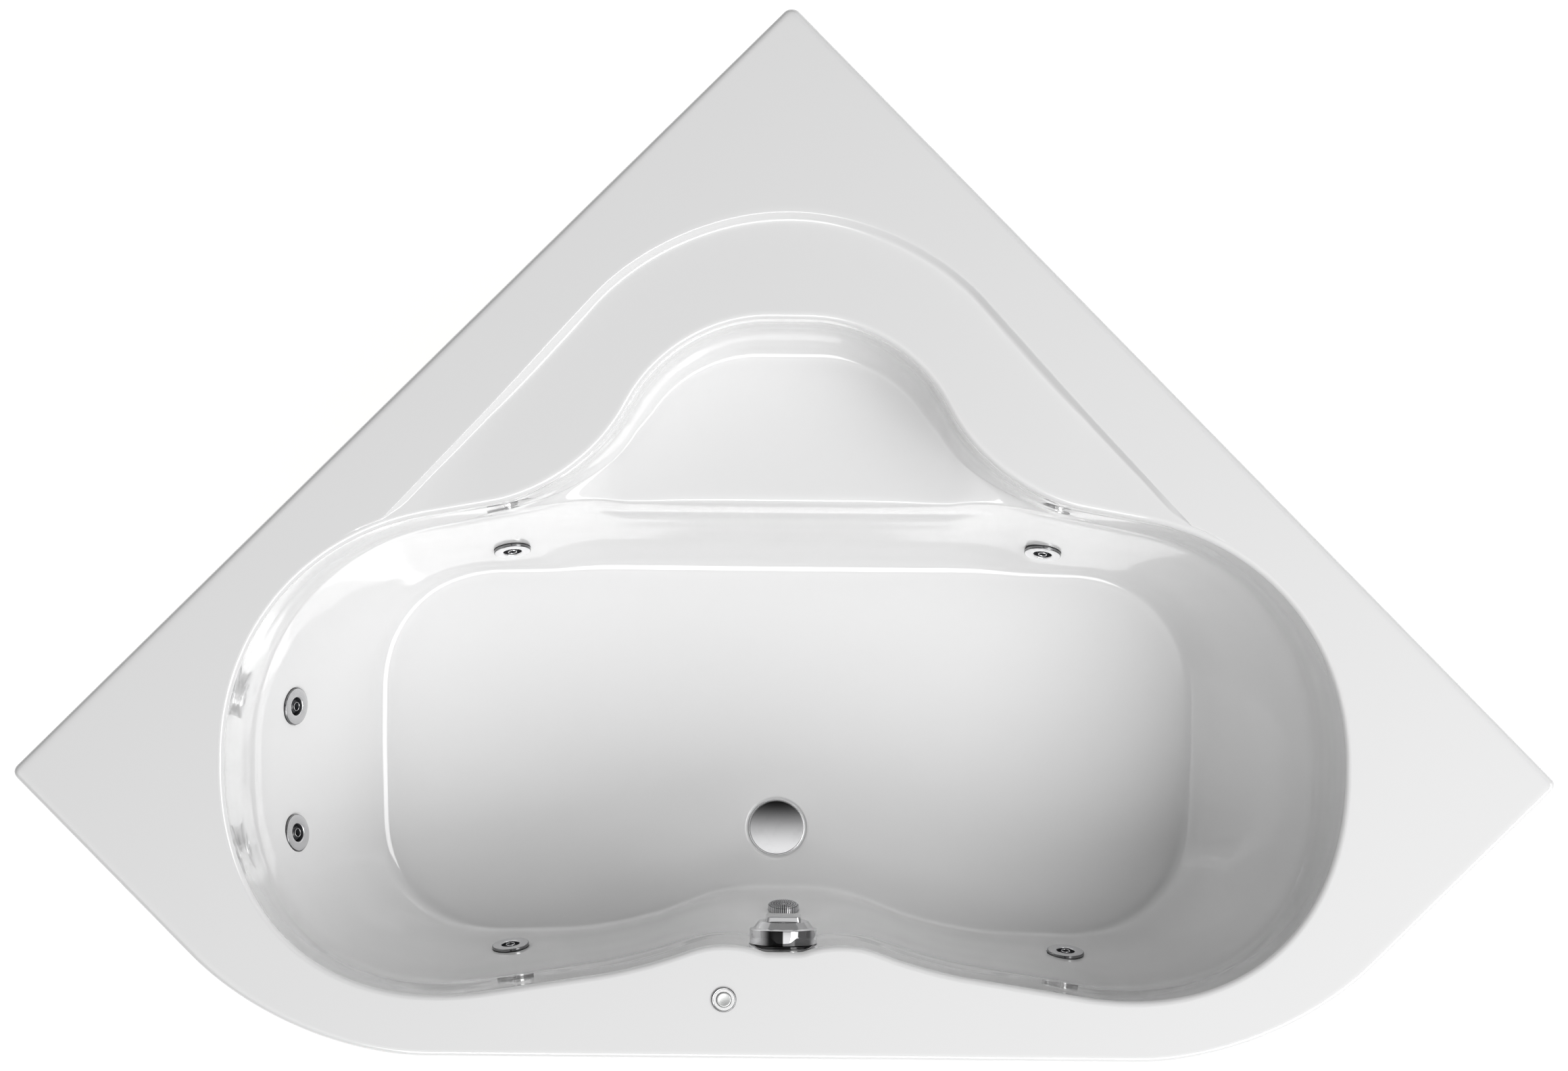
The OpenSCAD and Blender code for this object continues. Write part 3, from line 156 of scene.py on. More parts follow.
class Graph:
    """A node tree in which one method makes every node but the maths."""

    def __init__(self, tree):
        self.tree = tree

    def node(self, kind, settings=None, **inputs):
        node = self.tree.nodes.new(kind)
        for key, value in (settings or {}).items():
            if key == "ramp":
                ramp = node.color_ramp
                while len(ramp.elements) < len(value):
                    ramp.elements.new(0.5)
                for e, (pos, col) in zip(ramp.elements, value):
                    e.position, e.color = pos, (*col, 1)
            else:
                setattr(node, key, value)
        for key, value in inputs.items():
            self.feed(node, key, value)
        return node

    def feed(self, node, key, value):
        names = [i for i in node.inputs if i.identifier == key or i.name.replace(" ", "_") == key]
        socket = names[0]
        if isinstance(value, Val):
            value = value.socket
        if isinstance(value, bpy.types.NodeSocket):
            self.tree.links.new(value, socket)
        else:
            socket.default_value = value

    def value(self, kind, out=0, settings=None, **inputs):
        return Val(self.tree, self.node(kind, settings, **inputs).outputs[out])

    def remap(self, v, lo, hi, out_lo=0.0, out_hi=1.0, curve="SMOOTHSTEP"):
        return self.value("ShaderNodeMapRange", 0, {"interpolation_type": curve}, Value=v, From_Min=lo, From_Max=hi,
                          To_Min=out_lo, To_Max=out_hi)

    def rays(self, *kinds):
        """1 for rays of these kinds and 0 for the others."""
        path = self.node("ShaderNodeLightPath")
        found = [Val(self.tree, path.outputs["Is %s Ray" % kind]) for kind in kinds]
        total = found[0]
        for one in found[1:]:
            total = total.most(one)
        return total


PALE = (0.8, 0.8, 0.8, 1)


class Finish(Graph):
    """One procedural material, built from Object coordinates."""

    def __init__(self, name):
        self.mat = bpy.data.materials.new(name)
        self.mat.use_nodes = True
        super().__init__(self.mat.node_tree)
        self.shader = self.tree.nodes["Principled BSDF"]
        self.at = self.node("ShaderNodeTexCoord").outputs["Object"]

    def stretched(self, x, y, z):
        return self.node("ShaderNodeMapping", Vector=self.at, Scale=(x, y, z)).outputs[0]

    def noise(self, scale, detail=2.0, at=None, rough=0.5):
        return self.value("ShaderNodeTexNoise", Vector=at or self.at, Scale=scale, Detail=detail, Roughness=rough)

    def cells(self, scale, at=None, feature="F1", out=0):
        return self.value("ShaderNodeTexVoronoi", out, {"feature": feature}, Vector=at or self.at, Scale=scale)

    def mix(self, f, a, b):
        """Colour a where f is 0 and b where it is 1."""
        n = self.node("ShaderNodeMix", {"data_type": "RGBA"}, Factor_Float=f, A_Color=a, B_Color=b)
        return n.outputs[2]

    def in_view(self, colour):
        """The given colour, but a pale one in reflections that come from further than the piece itself."""
        length = self.value("ShaderNodeLightPath", "Ray Length")
        return self.mix(self.rays("Glossy") * self.remap(length, 0.010, 0.014), colour, PALE)

    def bump(self, height, strength, distance):
        n = self.node("ShaderNodeBump", Height=height, Strength=strength, Distance=distance)
        self.feed(self.shader, "Normal", n.outputs[0])

    def set(self, **values):
        for key, value in values.items():
            self.feed(self.shader, key, value)
        return self.mat


def rgb(c, k=1.0):
    return (min(1, c[0] * k), min(1, c[1] * k), min(1, c[2] * k), 1)


def acrylic():
    """Glossy sanitary acrylic: near white, with the faint waviness of a drawn sheet."""
    f = Finish("sanitary_acrylic")
    c = colours().acrylic
    cloud = f.noise(2.2, 3)
    f.bump(f.noise(9, 1) * 0.9 + f.noise(160, 2) * 0.02, 0.02, 0.004)
    gloss = f.remap(f.noise(30, 3), 0.3, 0.7, 0.07, 0.10)
    return f.set(Base_Color=f.mix(cloud, rgb(c, 0.992), rgb(c, 1.008)), Roughness=gloss, IOR=1.49,
                 Coat_Weight=1.0, Coat_Roughness=0.03)


def laminate():
    """Chopped glass strands in resin on the hidden side of the shell."""
    f = Finish("glass_fibre_laminate")
    c = colours().laminate
    along = [f.noise(60, 4, f.stretched(*scale)) for scale in ((1, 6, 6), (6, 1, 6), (6, 6, 1))]
    mask = f.remap((along[0] + along[1] + along[2]) / 3, 0.42, 0.6)
    patch = f.remap(f.noise(5, 3), 0.35, 0.7)
    f.bump(mask + f.noise(25, 3) * 0.6, 0.5, 0.0016)
    base = f.mix(mask, rgb(c, 0.86), rgb(c, 1.18))
    return f.set(Base_Color=f.mix(patch * 0.35, base, rgb(c, 0.75)), Roughness=0.36 + mask * 0.25)


def chrome(name="plated_chrome", rough=0.045, metal=1.0, tone=1.0, shy=False):
    """Bright plating with faint handling marks."""
    f = Finish(name)
    c = colours().chrome
    marks = f.remap(f.noise(70, 4), 0.45, 0.75)
    base = f.mix(marks, rgb(c, tone), rgb(c, tone * 0.95))
    return f.set(Base_Color=f.in_view(base) if shy else base, Metallic=metal, Roughness=rough + marks * 0.03)


def plastic(name, c, rough=0.4, grain=900.0, depth=0.0001, wear=0.06, shy=False):
    """Moulded plastic with a fine grain and slightly uneven colour."""
    f = Finish(name)
    cloud = f.noise(14, 3)
    grains = f.noise(grain, 2)
    f.bump(grains, 0.25, depth)
    base = f.mix(cloud, rgb(c, 1 - wear), rgb(c, 1 + wear))
    return f.set(Base_Color=f.in_view(base) if shy else base,
                 Roughness=f.remap(cloud, 0.3, 0.7, rough - 0.05, rough + 0.07))


def rubber(name="black_rubber"):
    f = Finish(name)
    dust = f.remap(f.noise(45, 4), 0.5, 0.8)
    f.bump(f.noise(700, 2), 0.3, 0.0001)
    return f.set(Base_Color=f.mix(dust, (0.018, 0.018, 0.019, 1), (0.05, 0.05, 0.05, 1)),
                 Roughness=0.62 + dust * 0.2)


def galvanised():
    """Zinc coated steel, with its crystals and a few dull streaks."""
    f = Finish("galvanised_steel")
    c = colours().zinc
    tone = f.value("ShaderNodeRGBToBW", Color=f.cells(55, out="Color"))
    streak = f.remap(f.noise(16, 3, f.stretched(1, 1, 5)), 0.45, 0.7)
    f.bump(tone, 0.08, 0.0003)
    return f.set(Base_Color=f.mix(tone, rgb(c, 0.82), rgb(c, 1.15)), Metallic=0.9,
                 Roughness=0.30 + tone * 0.14 + streak * 0.12)


def zinc_bolt():
    f = Finish("zinc_plated_screw")
    v = f.noise(90, 3)
    return f.set(Base_Color=f.mix(v, (0.52, 0.52, 0.50, 1), (0.66, 0.65, 0.60, 1)), Metallic=1.0,
                 Roughness=0.24 + v * 0.18)


def chipboard():
    """Pressed wood chips, each in its own tone, with dark glue lines between."""
    f = Finish("chipboard")
    c = colours().board
    at = f.stretched(1.0, 2.2, 1.6)
    tone = f.value("ShaderNodeRGBToBW", Color=f.cells(170, at, out="Color"))
    line = f.remap(f.cells(170, at, "DISTANCE_TO_EDGE"), 0.0, 0.06)
    f.bump(tone + line, 0.35, 0.0005)
    wood = f.mix(tone, rgb(c, 0.72), rgb(c, 1.28))
    return f.set(Base_Color=f.mix(line, rgb(c, 0.45), wood), Roughness=0.78 - tone * 0.1)


def hose(name, c, rough, ribs):
    """Ribbed or smooth flexible hose."""
    f = Finish(name)
    bands = {"wave_type": "BANDS", "bands_direction": "DIAGONAL"}
    band = f.value("ShaderNodeTexWave", "Fac", bands, Vector=f.at, Scale=ribs)
    f.bump(band, 0.5, 0.0008)
    dust = f.noise(22, 3)
    return f.set(Base_Color=f.mix(dust, rgb(c, 0.9), rgb(c, 1.06)), Roughness=rough + band * 0.08)


def paint():
    """Sprayed paint over a cast casing, with a few rubbed edges."""
    f = Finish("motor_paint")
    c = colours().motor
    peel = f.noise(420, 2)
    rub = f.remap(f.noise(38, 5), 0.62, 0.72)
    f.bump(peel, 0.25, 0.0002)
    return f.set(Base_Color=f.mix(rub, rgb(c), rgb(c, 2.4)), Roughness=0.32 + peel * 0.1, Coat_Weight=0.15)


def painted_reflection_chrome():
    """Plating of the turning ring, with the dark bands of a dim room painted into its colour as painted reflections.
    """
    f = Finish("banded_chrome")
    c = colours().chrome
    x = f.value("ShaderNodeSeparateXYZ", "X", Vector=f.at)
    # Two bands across the ring by its X, darkened in the base colour: painted reflections
    left = f.remap(x, -0.030, -0.017) * (1 - f.remap(x, -0.001, 0.0005))
    right = f.remap(x, 0.0135, 0.016) * (1 - f.remap(x, 0.033, 0.039)) * 0.72
    marks = f.remap(f.noise(70, 4), 0.45, 0.75)
    return f.set(Base_Color=f.mix(left.most(right), rgb(c), rgb(c, 0.03)), Metallic=1.0,
                 Roughness=0.045 + marks * 0.03)


def pearl():
    f = Finish("pearl_button")
    v = f.noise(60, 3)
    return f.set(Base_Color=f.mix(v, (0.70, 0.71, 0.70, 1), (0.80, 0.81, 0.80, 1)), Metallic=0.5,
                 Roughness=0.34 + v * 0.05, Coat_Weight=0.2)


MADE = {}


def finish_of(key):
    """The material of that name, made the first time it is asked for."""
    makers = {
        "acrylic": acrylic, "laminate": laminate, "chrome": chrome, "rubber": rubber, "galvanised": galvanised,
        "bolt": zinc_bolt, "board": chipboard, "paint": paint, "pearl": pearl,
        # The dimmed plating is a darker copy of the chrome: painted shade on the knob's cone and grip
        "banded_chrome": painted_reflection_chrome, "soft_chrome": lambda: chrome("soft_chrome", 0.1, 1.0, 0.72),
        "ring_chrome": lambda: chrome("satin_chrome", 0.24, 0.85, 1.04),
        # A very dark copy of the plating: painted shade and painted dark outlines on the fittings' edges
        "chrome_in_painted_shade": lambda: chrome("smoked_chrome", 0.12, 1.0, 0.3, True),
        "dark_chrome": lambda: plastic("dark_body", (0.035, 0.036, 0.04), 0.22),
        "socket": lambda: plastic("dark_socket", (0.035, 0.036, 0.04), 0.22, shy=True),
        "pipe": lambda: plastic("white_pipe", colours().pipe, 0.34, 500),
        "grey_hose": lambda: hose("grey_hose", (0.40, 0.41, 0.42), 0.38, 120),
        "clear_hose": lambda: hose("milky_hose", (0.62, 0.67, 0.70), 0.2, 40),
        "black": lambda: plastic("black_moulding", (0.022, 0.022, 0.024), 0.46, 700, 0.00015),
        "grey_box": lambda: plastic("light_grey_moulding", (0.60, 0.61, 0.60), 0.42, 800, 0.00012),
        "white_ring": lambda: plastic("white_ring", (0.84, 0.84, 0.84), 0.2, 900, 0.00003, 0.01),
    }
    if key not in MADE:
        MADE[key] = makers[key]()
    return MADE[key]


# ---- Tools for pieces ----


def as_piece(bm, name, mats, body="bath", replaces=(), smooth=38, recalc=True):
    """Turns a bmesh into a finished piece that rides on a body."""
    if recalc:
        bmesh.ops.remove_doubles(bm, verts=bm.verts, dist=1e-6)
        bmesh.ops.recalc_face_normals(bm, faces=bm.faces)
    mesh = bpy.data.meshes.new(name)
    bm.to_mesh(mesh)
    bm.free()
    obj = bpy.data.objects.new(name, mesh)
    bpy.context.scene.collection.objects.link(obj)
    for m in mats:
        mesh.materials.append(finish_of(m))
    mesh.shade_smooth()
    mesh.set_sharp_from_angle(angle=math.radians(smooth))
    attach(obj, body)
    if replaces:
        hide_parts(*replaces)
    return obj


def seat_matrix(seat):
    """Frame of a fitting: origin on the wall, +Z into the basin, in metres."""
    p, n = seat
    n = Vector(n)
    turn = Matrix.Rotation(math.atan2(n.y, n.x), 4, "Z") @ Matrix.Rotation(math.acos(n.z), 4, "Y")
    return Matrix.Translation(place(p)) @ turn


def turned(bm, profile, steps=None, matrix=None, mat=0, closed=True):
    """Spins a profile of (radius, height) in millimetres round +Z."""
    steps = steps or sizes().spin_steps
    verts = [bm.verts.new((r * MM, 0, z * MM)) for r, z in profile]
    pairs = list(zip(verts, verts[1:]))
    if closed:
        pairs.append((verts[-1], verts[0]))
    edges = [bm.edges.new(p) for p in pairs]
    bmesh.ops.spin(bm, geom=verts + edges, cent=(0, 0, 0), axis=(0, 0, 1), angle=2 * math.pi, steps=steps,
                   use_merge=True)
    made = set(verts)
    faces = set()
    stack = list(verts)
    while stack:
        v = stack.pop()
        for f in v.link_faces:
            faces.add(f)
            for w in f.verts:
                if w not in made:
                    made.add(w)
                    stack.append(w)
    for f in faces:
        f.material_index = mat
    bmesh.ops.remove_doubles(bm, verts=list(made), dist=1e-7)
    made = [v for v in made if v.is_valid]
    if matrix is not None:
        bmesh.ops.transform(bm, matrix=matrix, verts=made)
    return made


def arc(cx, cz, r, a0, a1, n=5):
    """Points of a rounded corner in a profile, from angle to angle in degrees."""
    turns = [math.radians(a0 + (a1 - a0) * i / n) for i in range(n + 1)]
    return [(cx + r * math.cos(a), cz + r * math.sin(a)) for a in turns]


# ---- The moulded shell ----

OPENING_W, OPENING_D, OPENING_FRONT = 1454.0, 875.0, 281.0
FLOOR_W, FLOOR_D, FLOOR_FRONT = 1050.0, 471.0, 202.0
SEAT_W, SEAT_D, SEAT_FRONT, SEAT_DEPTH = 600.0, 192.0, 352.0, 170.0
RIM_W, RIM_D, RIM_FRONT = 1434.0, 858.1, 270.8
EDGE_R, LAND_W, SHELF_DROP, SHELF_W, SHELF_BACK = 8.0, 3.0, 11.0, 1062.0, 728.0
STEP_TOP_R, STEP_FOOT_R, STEP_W, STEP_GROWTH, ARCH_SLIP, ARCH_DRIFT = 5.0, 12.0, 15.5, 1.0, 1.7, 6.0
BASIN_DEPTH, FLOOR_FALL, SHELL_T, SHELL_BASE = 420.0, 7.0, 7.0, 3.0
WALL_H = BASIN_DEPTH - FLOOR_FALL
BASE_Z = -BASIN_DEPTH - SHELL_T - SHELL_BASE
HALF_SIDE, FRONT_SETBACK, LIP_R, LIP_H = 1400 * math.sin(math.radians(45)), 359.0, 7.0, 34.0
DRAIN, HOLE_R, RECESS_H = Vector((-10.0, -70.0)), 27, 3
CORNER_STEPS = (4, 4, 8, 3, 8, 3, 3, 2)
JUNCTION = 12

# Half outlines from the back to the front: shares of half the width, of the depth, and of half the width for the
# run of the rounded corner
OPENING = [(0, 1), (0.184, 1, 0.138), (0.385, 0.745, 0.133), (1, 0.654, 0.373), (1, 0.321, 0.016),
           (1, -0.088, 0.465), (0.296, 0.039, 0.06), (0.117, 0.078, 0.045), (0.041, 0.063, 0.028), (0, 0.063)]
RIM = [(0, 1), (0.2005, 1, 0.1661), (0.3681, 0.7442, 0.1646), (1, 0.6491, 0.3662), (1, 0.3369, 0.006),
       (1, -0.0664, 0.4752), (0.2595, 0.0313, 0.0744), (0.1024, 0.0789, 0.0667), (0.0324, 0.0574, 0.0065),
       (0, 0.0574)]
FLOOR = [(0, 1), (0.248, 1, 0.1), (0.495, 1, 0.1), (1, 0.99, 0.295), (1, 0.515, 0.04), (0.985, -0.02, 0.29),
         (0.41, -0.005, 0.15), (0.16, 0.1, 0.055), (0.07, 0.113, 0.03), (0, 0.113)]
SEAT_BACK = [(0, 1), (0.407, 1, 0.25), (0.787, 0.21, 0.16), (1.03, 0)]
SEAT_FRONT_LINE = [(0, 0), (0.367, 0, 0.13), (0.783, 0, 0.2), (1.03, 0)]
ARCH = [(0, 0), (0.286, 0, 0.28), (0.65, 0.513, 0.11), (1, 1)]
# The wall's eleven levels from the edge down to the floor: shares of its depth and of its way inwards, how much of
# the rim's shift each takes, and the same levels where the seat lies between
WALL_DEPTH = (0.05, 0.14, 0.27, 0.36, 0.41, 0.47, 0.62, 0.77, 0.88, 0.96, 1)
WALL_INSET = (0.01, 0.04, 0.09, 0.14, 0.17, 0.21, 0.39, 0.61, 0.79, 0.92, 1)
RIM_REACH = (0.98, 0.89, 0.73, 0.58, 0.5, 0.44, 0.2, 0.03, 0, 0, 0)
SEAT_WALL = ((0.06, 0.22), (0.24, 0.6), (0.6, 0.9), (1, 1))
SEAT_FRONT_DEPTH = (0.04, 0.38, 0.68, 0.86, 0.96, 1)
SEAT_FRONT_INSET = (0.04, 0.24, 0.46, 0.66, 0.85, 1)
WALL_OUT = (0.96, 0.98, 0.85, 0.5, 0.25, 0.8, 0.95, 0.9, 0.75, 0.4)
WALL_DOWN = (0.2, 0.3, 0.6, 1, 1, 0.5, 0.3, 0.4, 0.6, 0.9)

# Seats of the fittings: a point of the wall and the direction into the basin
JET_SEATS = {
    "back_right": ((332.966, 292.983, -347), (-0.10152, -0.93283, 0.34571)),
    "back_left": ((-356.957, 289.76, -347), (0.10295, -0.93995, 0.3254)),
    "side_back": ((-636.126, 83.9685, -270), (0.82056, -0.06842, 0.56745)),
    "side_front": ((-632.914, -79.97, -270), (0.81008, 0.07683, 0.58127)),
    "front_left": ((-354.049, -226.855, -347), (-0.12478, 0.95216, 0.27897)),
    "front_right": ((367.135, -228.84, -347), (0.08203, 0.95474, 0.28591)),
}
KNOB_SEAT = ((0, -220.919, -84), (0, 0.99744, 0.07151))
STRAINER_SEAT = ((0, -175.562, -329), (0, 0.95649, 0.29175))
SEAT_SINK, SEAT_T, CUT_REACH, PASS_GAP = 0.4, 6.0, 18, 0.5
SLEEVE_R, JET_R, KNOB_R, OVERFLOW_R, STRAINER_R = 17.0, 24.0, 43.0, 24.0, 20.0
BUTTON = (-75.0, -283.0)
BEZEL_R, BUTTON_R, BUTTON_BORE, BUTTON_PROUD = 16.0, 9.6, 12.5, 3.6


def share_points(shares, half_w, depth, y0):
    return [(p[0] * half_w, y0 + p[1] * depth, p[2] * half_w if len(p) > 2 else 0.0) for p in shares]


def corner_curve(a, c, b, run):
    """Ends and handles of one rounded corner."""
    p0 = c + (a - c).normalized() * run
    p3 = c + (b - c).normalized() * run
    return p0, p0.lerp(c, 0.6), p3.lerp(c, 0.6), p3


def half_outline(points, steps, counts):
    """Half an outline from the back to the front, with that many points in each stretch."""
    pts = [Vector(p[:2]) for p in points]
    out, k = [pts[0]], 0

    def straight(end):
        nonlocal k
        start = out[-1]
        out.extend(start.lerp(end, i / counts[k]) for i in range(1, counts[k] + 1))
        k += 1

    for j, n in enumerate(steps, 1):
        p0, p1, p2, p3 = corner_curve(pts[j - 1], pts[j], pts[j + 1], points[j][2])
        straight(p0)
        for m in range(n):
            for i in range(1, counts[k] + 1):
                t = (m + i / counts[k]) / n
                s = 1 - t
                out.append(p0 * s**3 + p1 * (3 * s * s * t) + p2 * (3 * s * t * t) + p3 * t**3)
            k += 1
    straight(pts[-1])
    return out


class Shell:
    """Outlines and rings of the shell, at every station round it."""

    def __init__(self):
        opening = share_points(OPENING, OPENING_W / 2, OPENING_D, -OPENING_FRONT)
        n = sum(CORNER_STEPS) + len(CORNER_STEPS) + 1
        rough = half_outline(opening, CORNER_STEPS, [1] * n)
        deck = self.deck_corners()
        rough_deck = half_outline(deck, CORNER_STEPS, [1] * n)
        face = sizes().face_len
        self.counts = []
        for i in range(n):
            own = (rough[i + 1] - rough[i]).length
            edge = (rough_deck[i + 1] - rough_deck[i]).length
            self.counts.append(max(2, math.ceil(own / face), math.ceil(edge / (6 * face))))
        self.at = [0.0]
        for i, c in enumerate(self.counts):
            self.at += [i + k / c for k in range(1, c + 1)]
        self.half = len(self.at)
        self.n = 2 * self.half - 2
        self.opening = self.both(half_outline(opening, CORNER_STEPS, self.counts))
        floor = share_points(FLOOR, FLOOR_W / 2, FLOOR_D, -FLOOR_FRONT)
        self.floor = self.both(half_outline(floor, CORNER_STEPS, self.counts))
        self.deck = self.both(half_outline(deck, CORNER_STEPS, self.counts))
        rim = share_points(RIM, RIM_W / 2, RIM_D, -RIM_FRONT)
        self.rim = self.both(half_outline(rim, CORNER_STEPS, self.counts))
        self.edge = self.offset(self.rim, EDGE_R)
        self.arch = self.arch_ring()
        part = self.counts[:11]
        back = half_outline(share_points(SEAT_BACK, SEAT_W / 2, SEAT_D, SEAT_FRONT), (4, 4), part)
        front = half_outline(share_points(SEAT_FRONT_LINE, SEAT_W / 2, SEAT_D, SEAT_FRONT), (4, 4), part)
        self.seat_back = self.both(back + [back[-1]] * (self.half - len(back)))
        self.seat_front = self.both(front + [front[-1]] * (self.half - len(front)))

    def deck_corners(self):
        h = HALF_SIDE
        c = [(0, h - 6, 0), (6, h - 6, 5.4)]
        c += [(h * a, h * (1 - a), h * r) for a, r in ((0.333, 0.06), (0.667, 0.12))]
        c += [(h, 0, 12), (h - FRONT_SETBACK, -FRONT_SETBACK, h * 0.18)]
        c += [(h * a, -FRONT_SETBACK, h * r) for a, r in ((0.333, 0.04), (0.121, 0.02), (0.045, 0.008))]
        return c + [(0, -FRONT_SETBACK, 0)]

    def both(self, half):
        return list(half) + [Vector((-p.x, p.y)) for p in half[-2:0:-1]]

    def station(self, i):
        return self.at[i if i < self.half else self.n - i]

    def offset(self, ring, d):
        out = []
        for i in range(self.n):
            t = (ring[(i + 1) % self.n] - ring[i - 1]).normalized()
            out.append(ring[i] + Vector((-t.y, t.x)) * d)
        return out

    def arch_ring(self):
        land = self.offset(self.rim, EDGE_R + LAND_W)
        j = self.at.index(JUNCTION)
        pts = share_points(ARCH, SHELF_W / 2, land[j].y - SHELF_BACK, SHELF_BACK)
        own = half_outline(pts, (4, 4), self.counts[:11])
        last = self.at.index(10)
        half = [own[0]]
        for i in range(1, last + 1):
            t = (own[i + 1] - own[i - 1]).normalized()
            half.append(own[i] + Vector((t.y, -t.x)) * (ARCH_SLIP + ARCH_DRIFT * (self.at[i] / 10) ** 1.5))
        half[0] = Vector((0, half[1].y))
        for i in range(last + 1, j + 1):
            half.append(half[last].lerp(land[j], (self.at[i] - 10) / (JUNCTION - 10)))
        return self.both(half + land[j + 1 : self.half])

    def drop(self, i):
        f = max(0.0, min(1.0, (JUNCTION + 1 - self.station(i)) / 3))
        return SHELF_DROP * f * f * (3 - 2 * f)

    def weight(self, i):
        t = max(0.0, min(1.0, (self.station(i) - 7) / 4))
        return 1 - t * t * (3 - 2 * t)

    def wall(self, i, k):
        """Wall point at station i on level k, from 1 under the edge to 11 at the floor."""
        o, f = self.opening[i], self.floor[i]
        plain = o.lerp(f, WALL_INSET[k - 1])
        z = -WALL_H * WALL_DEPTH[k - 1]
        w = self.weight(i)
        if w > 0:
            back, front = self.seat_back[i], self.seat_front[i]
            if k <= 4:
                p, zz = o.lerp(back, SEAT_WALL[k - 1][0]), -SEAT_DEPTH * SEAT_WALL[k - 1][1]
            elif k == 5:
                p, zz = front.lerp(back, 0.025), -SEAT_DEPTH
            else:
                p = front.lerp(f, SEAT_FRONT_INSET[k - 6])
                zz = -(SEAT_DEPTH + (WALL_H - SEAT_DEPTH) * SEAT_FRONT_DEPTH[k - 6])
            plain, z = plain.lerp(p, w), z + (zz - z) * w
        plain = plain + (self.rim[i] - o) * (RIM_REACH[k - 1] * (1 if k < 5 else 1 - w))
        return Vector((plain.x, plain.y, z))

    def under_wall(self, i, k):
        p = self.wall(i, k)
        a, b = self.wall(i - 1, k), self.wall((i + 1) % self.n, k)
        t = (b - a).xy.normalized()
        out = SHELL_T * WALL_OUT[k - 1]
        roof = -self.drop(i) - SHELL_T - EDGE_R * (1 + WALL_DEPTH[k - 1])
        z = min(roof, max(BASE_Z, p.z - SHELL_T * WALL_DOWN[k - 1]))
        return Vector((p.x - t.y * out, p.y + t.x * out, z))


EVEN_ENDS = (0.02, 0.045, 0.08, 0.14, 0.3, 0.5, 0.7, 0.86, 0.92, 0.955, 0.98, 1.0)


def smooth_through(points, counts):
    """Smooth curve through the points that never overshoots; a count of 0 crowds its points to both ends."""
    n = len(points)
    gaps = [max(1e-6, (points[i + 1] - points[i]).length) for i in range(n - 1)]
    slopes = []
    for i in range(n):
        if i in (0, n - 1):
            j = 0 if i == 0 else n - 2
            slopes.append((points[j + 1] - points[j]) / gaps[j])
            continue
        a, b = (points[i] - points[i - 1]) / gaps[i - 1], (points[i + 1] - points[i]) / gaps[i]
        wa, wb = 2 * gaps[i] + gaps[i - 1], gaps[i] + 2 * gaps[i - 1]
        slopes.append(Vector([0 if u * v <= 0 else (wa + wb) / (wa / u + wb / v) for u, v in zip(a, b)]))
    out = [points[0]]
    for i in range(n - 1):
        p, q, g = points[i], points[i + 1], gaps[i]
        for t in EVEN_ENDS if counts[i] == 0 else [k / counts[i] for k in range(1, counts[i] + 1)]:
            h = t * t * (3 - 2 * t)
            out.append(p * (1 - h) + q * h + slopes[i] * (g * t * (1 - t) ** 2)
                       - slopes[i + 1] * (g * t * t * (1 - t)))
    return out


def step_points(foot, head, low):
    """Profile of a step that rises by low: a soft fillet at its foot and a small one at its head."""
    reach = max(1e-6, (head - foot).length)
    small = min(1.0, reach / (STEP_TOP_R + STEP_FOOT_R) / 1.1)
    r0, r1 = STEP_FOOT_R * small, STEP_TOP_R * small

    def rise(a):
        return (r0 + r1) * (1 - math.cos(a)) + (reach - (r0 + r1) * math.sin(a)) * math.tan(a)

    lo, hi = 0.0, math.radians(84)
    for _ in range(30):
        mid = (lo + hi) / 2
        lo, hi = (mid, hi) if rise(mid) < low else (lo, mid)
    own = [(r0 * math.sin(lo * k / 6), r0 * (1 - math.cos(lo * k / 6))) for k in range(7)]
    own += [(reach - r1 * math.sin(lo * k / 6), low - r1 * (1 - math.cos(lo * k / 6))) for k in range(6, -1, -1)]
    own.insert(7, ((own[6][0] + own[7][0]) / 2, (own[6][1] + own[7][1]) / 2))
    return [Vector((*foot.lerp(head, x / reach), z - low)) for x, z in own]


WALL_COUNTS = (3, 5, 6, 8, 8, 5, 0, 6, 6, 5, 3)
FLOOR_RINGS = 7 + 13


